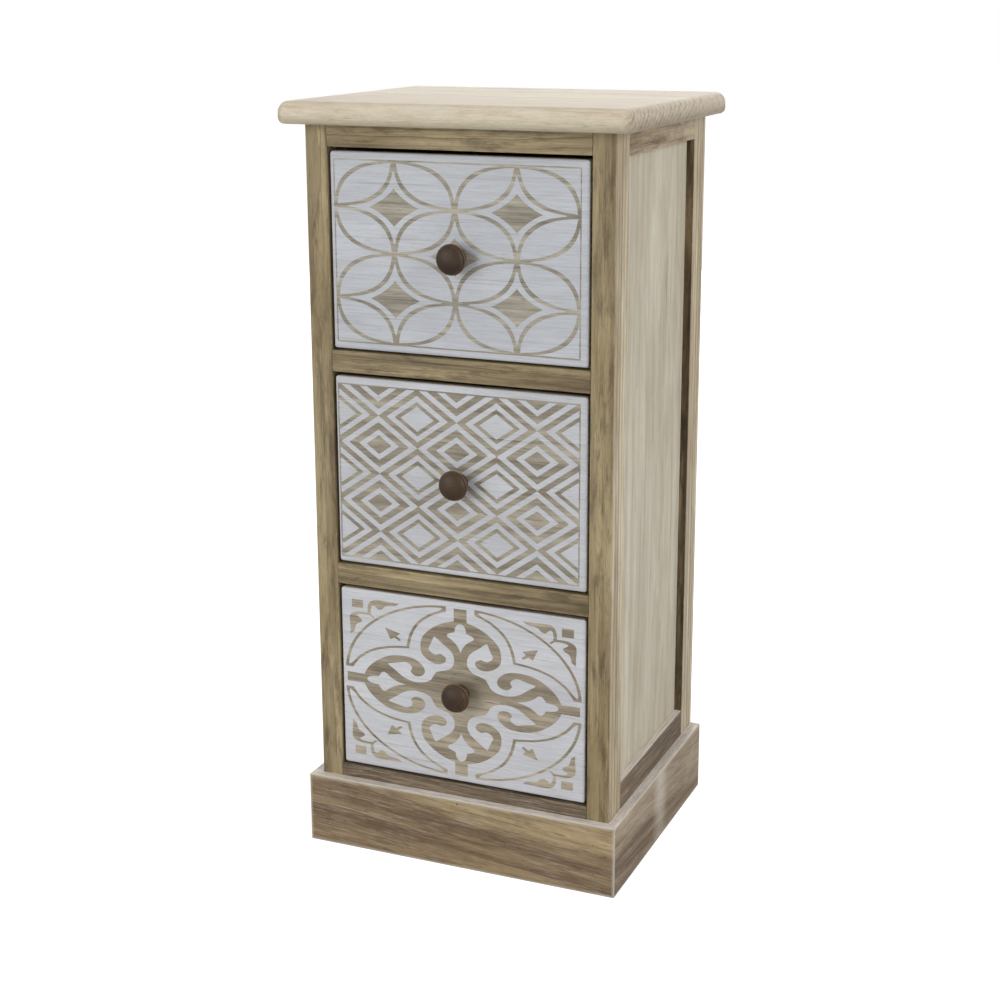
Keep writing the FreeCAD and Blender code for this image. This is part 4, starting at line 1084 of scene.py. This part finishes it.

# Distance from the front and radius in mm, and how much paler the rim and bead are painted, as
# rubbed stain and painted highlight, or if negative how dark the painted shade in the groove is.
knob_profile = [
    (0.0, 8.0, 0), (1.1, 8.0, 0.3), (1.6, 7.5, 0.1), (2.2, 6.7, 0), (3.4, 6.15, 0), (5.0, 6.1, 0),
    (6.6, 6.7, 0), (7.9, 7.9, 0), (8.9, 9.6, 0), (9.6, 11.2, 0.2), (10.3, 12.1, 0.7),
    (11.1, 12.5, 1), (12.0, 12.42, 1), (12.5, 12.05, 0.8), (12.7, 11.5, -0.6), (12.9, 11.15, -1),
    (13.2, 11.3, -0.3), (13.6, 11.6, 0.5), (14.2, 11.5, 0.5), (15.2, 10.95, 0.2), (16.3, 9.7, 0),
    (17.3, 7.9, 0), (18.1, 5.6, 0), (18.7, 3.0, 0), (18.9, 1.4, 0)]
knob_depth, around = 19.0 * mm, 56
circle = [2 * math.pi * i / around for i in range(around)]
for turn, level in enumerate(levels):
    low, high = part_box(f"{level}_knob")
    x, z = (low[0] + high[0]) / 2, (low[2] + high[2]) / 2
    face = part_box(f"{level}_drawer_front")[0][1]
    bm, loops, _ = joined_rings([
        ([(x + radius * mm * math.cos(a), face - out * mm, z + radius * mm * math.sin(a))
          for a in circle], rubbed) for out, radius, rubbed in knob_profile])
    pole = bm.verts.new((x, face - knob_depth, z))
    for first, second in zip(loops[-1], loops[-1][1:] + loops[-1][:1]):
        bm.faces.new((first, second, pole)).smooth = True
    bm.faces.new(loops[0])
    knob = finish_mesh(f"{level}_turned_knob", bm, [knob_stain],
                       (1, (9 * mm, 6 * mm - 5 * mm * turn), 150.0 + 2.7 * turn))
    stands_for(knob, f"{level}_knob", f"{level}_drawer")

# ---- Screws and nails --------------------------------------------------------------------------
# Plain steel screws hold the top and the knobs, and wire nails hold the runners, the back and the
# drawer corners. The brads of the plinth are sunk, and their holes are filled and stained over.
steel = speckled("dull_steel", (600, 600, 600), (150, 148, 144), (186, 184, 180), 0.3, 0.5,
                 relief=0.2, depth=0.05 * mm, metallic=1.0)

# A nail or a screw at every point of a mesh, along that point's "out" direction: a low domed head,
# a straight shank, a pointed tip and, for a screw, a cross cut in the head.
driven_fastener, given, made = new_tree(
    "driven_fastener",
    {"Places": "Geometry", "Head radius": 2 * mm, "Head height": 0.8 * mm, "Shank radius": 1 * mm,
     "Length": 14 * mm, "Cross width": 0.0, "Finish": "Material"},
    {"Geometry": "Geometry"}, "GeometryNodeTree")
t = driven_fastener
head_radius, head_height, shank, length, cross = [
    given[label] for label in ("Head radius", "Head height", "Shank radius", "Length",
                               "Cross width")]


def turned_down(tree, base, tip, depth, lift, around=14):
    """A cylinder or cone, lifted by `lift`."""
    made = place(tree, "GeometryNodeMeshCone", {"Vertices": around, "Radius Bottom": base,
                                                "Radius Top": tip, "Depth": depth})
    move = place(tree, "ShaderNodeCombineXYZ", {2: lift})
    return place(tree, "GeometryNodeTransform", {"Geometry": made, "Translation": move})


def put_together(tree, parts):
    whole = tree.nodes.new("GeometryNodeJoinGeometry")
    for part in parts:
        feed(tree, whole.inputs[0], part)
    return whole


rim = sums(t, "MULTIPLY", head_height, 0.55)
dome = sums(t, "SUBTRACT", head_height, rim)
head = put_together(t, [
    turned_down(t, head_radius, head_radius, rim, sums(t, "MULTIPLY", head_height, -1.0)),
    turned_down(t, head_radius, sums(t, "MULTIPLY", head_radius, 0.72), dome,
                sums(t, "MULTIPLY", dome, -1.0))])
cut_head = place(t, "GeometryNodeMeshBoolean", {"Mesh 1": head}, operation="DIFFERENCE")
arm, cut_depth = sums(t, "MULTIPLY", head_radius, 1.1), sums(t, "MULTIPLY", head_height, 1.1)
for first, second in ((arm, cross), (cross, arm)):
    size = place(t, "ShaderNodeCombineXYZ", {0: first, 1: second, 2: cut_depth})
    feed(t, cut_head.inputs["Mesh 2"], place(t, "GeometryNodeMeshCube", {"Size": size}))
crossed = sums(t, "GREATER_THAN", cross, 0.05 * mm)
head = place(t, "GeometryNodeSwitch", {"Switch": crossed, "False": head, "True": cut_head},
             input_type="GEOMETRY")
below_head = sums(t, "SUBTRACT", length, head_height)
straight = sums(t, "MULTIPLY", below_head, 0.85)
foot = sums(t, "SUBTRACT", sums(t, "MULTIPLY", head_height, -1.0), straight)
whole = put_together(t, [
    head, turned_down(t, shank, shank, straight, foot, 10),
    turned_down(t, sums(t, "MULTIPLY", shank, 0.12), shank, sums(t, "MULTIPLY", below_head, 0.15),
                sums(t, "MULTIPLY", length, -1.0), 10)])
out = place(t, "GeometryNodeInputNamedAttribute", {"Name": "out"}, data_type="FLOAT_VECTOR")
set_out(t, given["Places"], whole, given["Finish"], made, Rotation=place(
    t, "FunctionNodeAlignRotationToVector", {"Vector": out}, axis="Z"))


def loose_parts(node):
    """The box of each separate fastener in a CAD node."""
    bm = bmesh.new()
    bm.from_mesh(bpy.data.objects[node].data)
    bmesh.ops.remove_doubles(bm, verts=bm.verts, dist=0.001 * mm)
    left, boxes = set(bm.verts), []
    while left:
        found, edge_on = set(), [next(iter(left))]
        while edge_on:
            vert = edge_on.pop()
            if vert in found:
                continue
            found.add(vert)
            edge_on += [e.other_vert(vert) for e in vert.link_edges]
        left -= found
        boxes.append([[pick(v.co[i] for v in found) for i in range(3)] for pick in (min, max)])
    bm.free()
    return sorted(boxes)


def fasteners(node, sizes, head_way, cross=0.0, finish=steel, keep=None, sink=0.0, name="set",
              length=None):
    """Nails or screws in the places of a CAD node's. `sizes` are the head's radius and height and
    the shank's radius, `head_way` gives the way a head faces from the fastener's middle, and `keep`
    says from it whether it is made."""
    spots, ways = [], []
    for low, high in loose_parts(node):
        middle = Vector([(a + b) / 2 for a, b in zip(low, high)])
        if keep and not keep(middle):
            continue
        way = Vector(head_way(middle))
        axis = max(range(3), key=lambda i: abs(way[i]))
        spot = middle.copy()
        spot[axis] = (high if way[axis] > 0 else low)[axis] - way[axis] * sink
        spots.append(spot)
        ways.append(way)
        long = high[axis] - low[axis] - max(sink, 0.0)
    places = bpy.data.meshes.new(f"{node}_places")
    places.from_pydata(spots, [], [])
    layer = places.attributes.new("out", "FLOAT_VECTOR", "POINT")
    for point, way in zip(layer.data, ways):
        point.vector = way
    bm = bmesh.new()
    take_in(bm, grown_mesh(places, driven_fastener, {
        "Head radius": sizes[0], "Head height": sizes[1], "Shank radius": sizes[2],
        "Length": length or long, "Cross width": cross, "Finish": finish}))
    bmesh.ops.remove_doubles(bm, verts=bm.verts, dist=0.001 * mm)
    return finish_mesh(f"{node}_{name}", bm, [finish])


def outward(middle):
    return (math.copysign(1, middle[0]), 0, 0)


def inward(middle):
    return (-math.copysign(1, middle[0]), 0, 0)


def rearward(middle):
    return (0, 1, 0)


def downward(middle):
    return (0, 0, -1)


def drawer_way(middle):
    return outward(middle) if abs(middle[0]) > 90 * mm else downward(middle)


def plinth_way(middle):
    return (0, -1, 0) if middle[1] < -90 * mm else outward(middle)


cross_cut = 1.0 * mm
back_nail, wire_nail = (2.0 * mm, 0.8 * mm, 0.8 * mm), (1.5 * mm, 0.5 * mm, 0.7 * mm)
knob_screw, top_screw = (4.0 * mm, 2.5 * mm, 1.7 * mm), (3.75 * mm, 1.0 * mm, 1.8 * mm)
stands_for(fasteners("back_nails", back_nail, rearward), "back_nails", "case")
stands_for(fasteners("runner_nails", wire_nail, inward), "runner_nails", "case")
stands_for(fasteners("top_screws", top_screw, downward, cross_cut, sink=0.1 * mm), "top_screws",
           "case")
for level in levels:
    body, nails, screw = f"{level}_drawer", f"{level}_drawer_nails", f"{level}_knob_screw"
    stands_for(fasteners(nails, wire_nail, drawer_way), nails, body)
    stands_for(fasteners(screw, knob_screw, rearward, cross_cut), screw, body)

# The brads are punched below the face and their holes filled and stained over, but for one that
# shows as a dark dot at the middle of the front.
nail_filler = stained_wood("nail_filler", (158, 136, 103), (140, 119, 88), (100, 80, 56), rings=0.2,
                           worn=0.0, ends=0.0)
dark_brad = speckled("dark_brad", (900, 900, 900), (36, 28, 22), (58, 47, 38), 0.5, 0.7, detail=2.0)


def at_middle(spot):
    return abs(spot[0]) < 50 * mm


def off_middle(spot):
    return abs(spot[0]) > 50 * mm


in_sight = fasteners("plinth_brads", (0.95 * mm, 0.6 * mm, 0.6 * mm), plinth_way,
                     finish=dark_brad, keep=at_middle, sink=-0.04 * mm)
stands_for(in_sight, "plinth_brads", "case")
sunk = fasteners("plinth_brads", (0.95 * mm, 0.5 * mm, 0.5 * mm), plinth_way, finish=dark_brad,
                 keep=off_middle, sink=1.0 * mm, name="sunk")
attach(sunk, "case")
filled = fasteners("plinth_brads", (1.4 * mm, 0.5 * mm, 0.5 * mm), plinth_way, finish=nail_filler,
                   keep=off_middle, sink=-0.015 * mm, name="filled", length=1.2 * mm)
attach(filled, "case")
set_grain(filled.data, 0, (30 * mm, -36 * mm), 60.0)
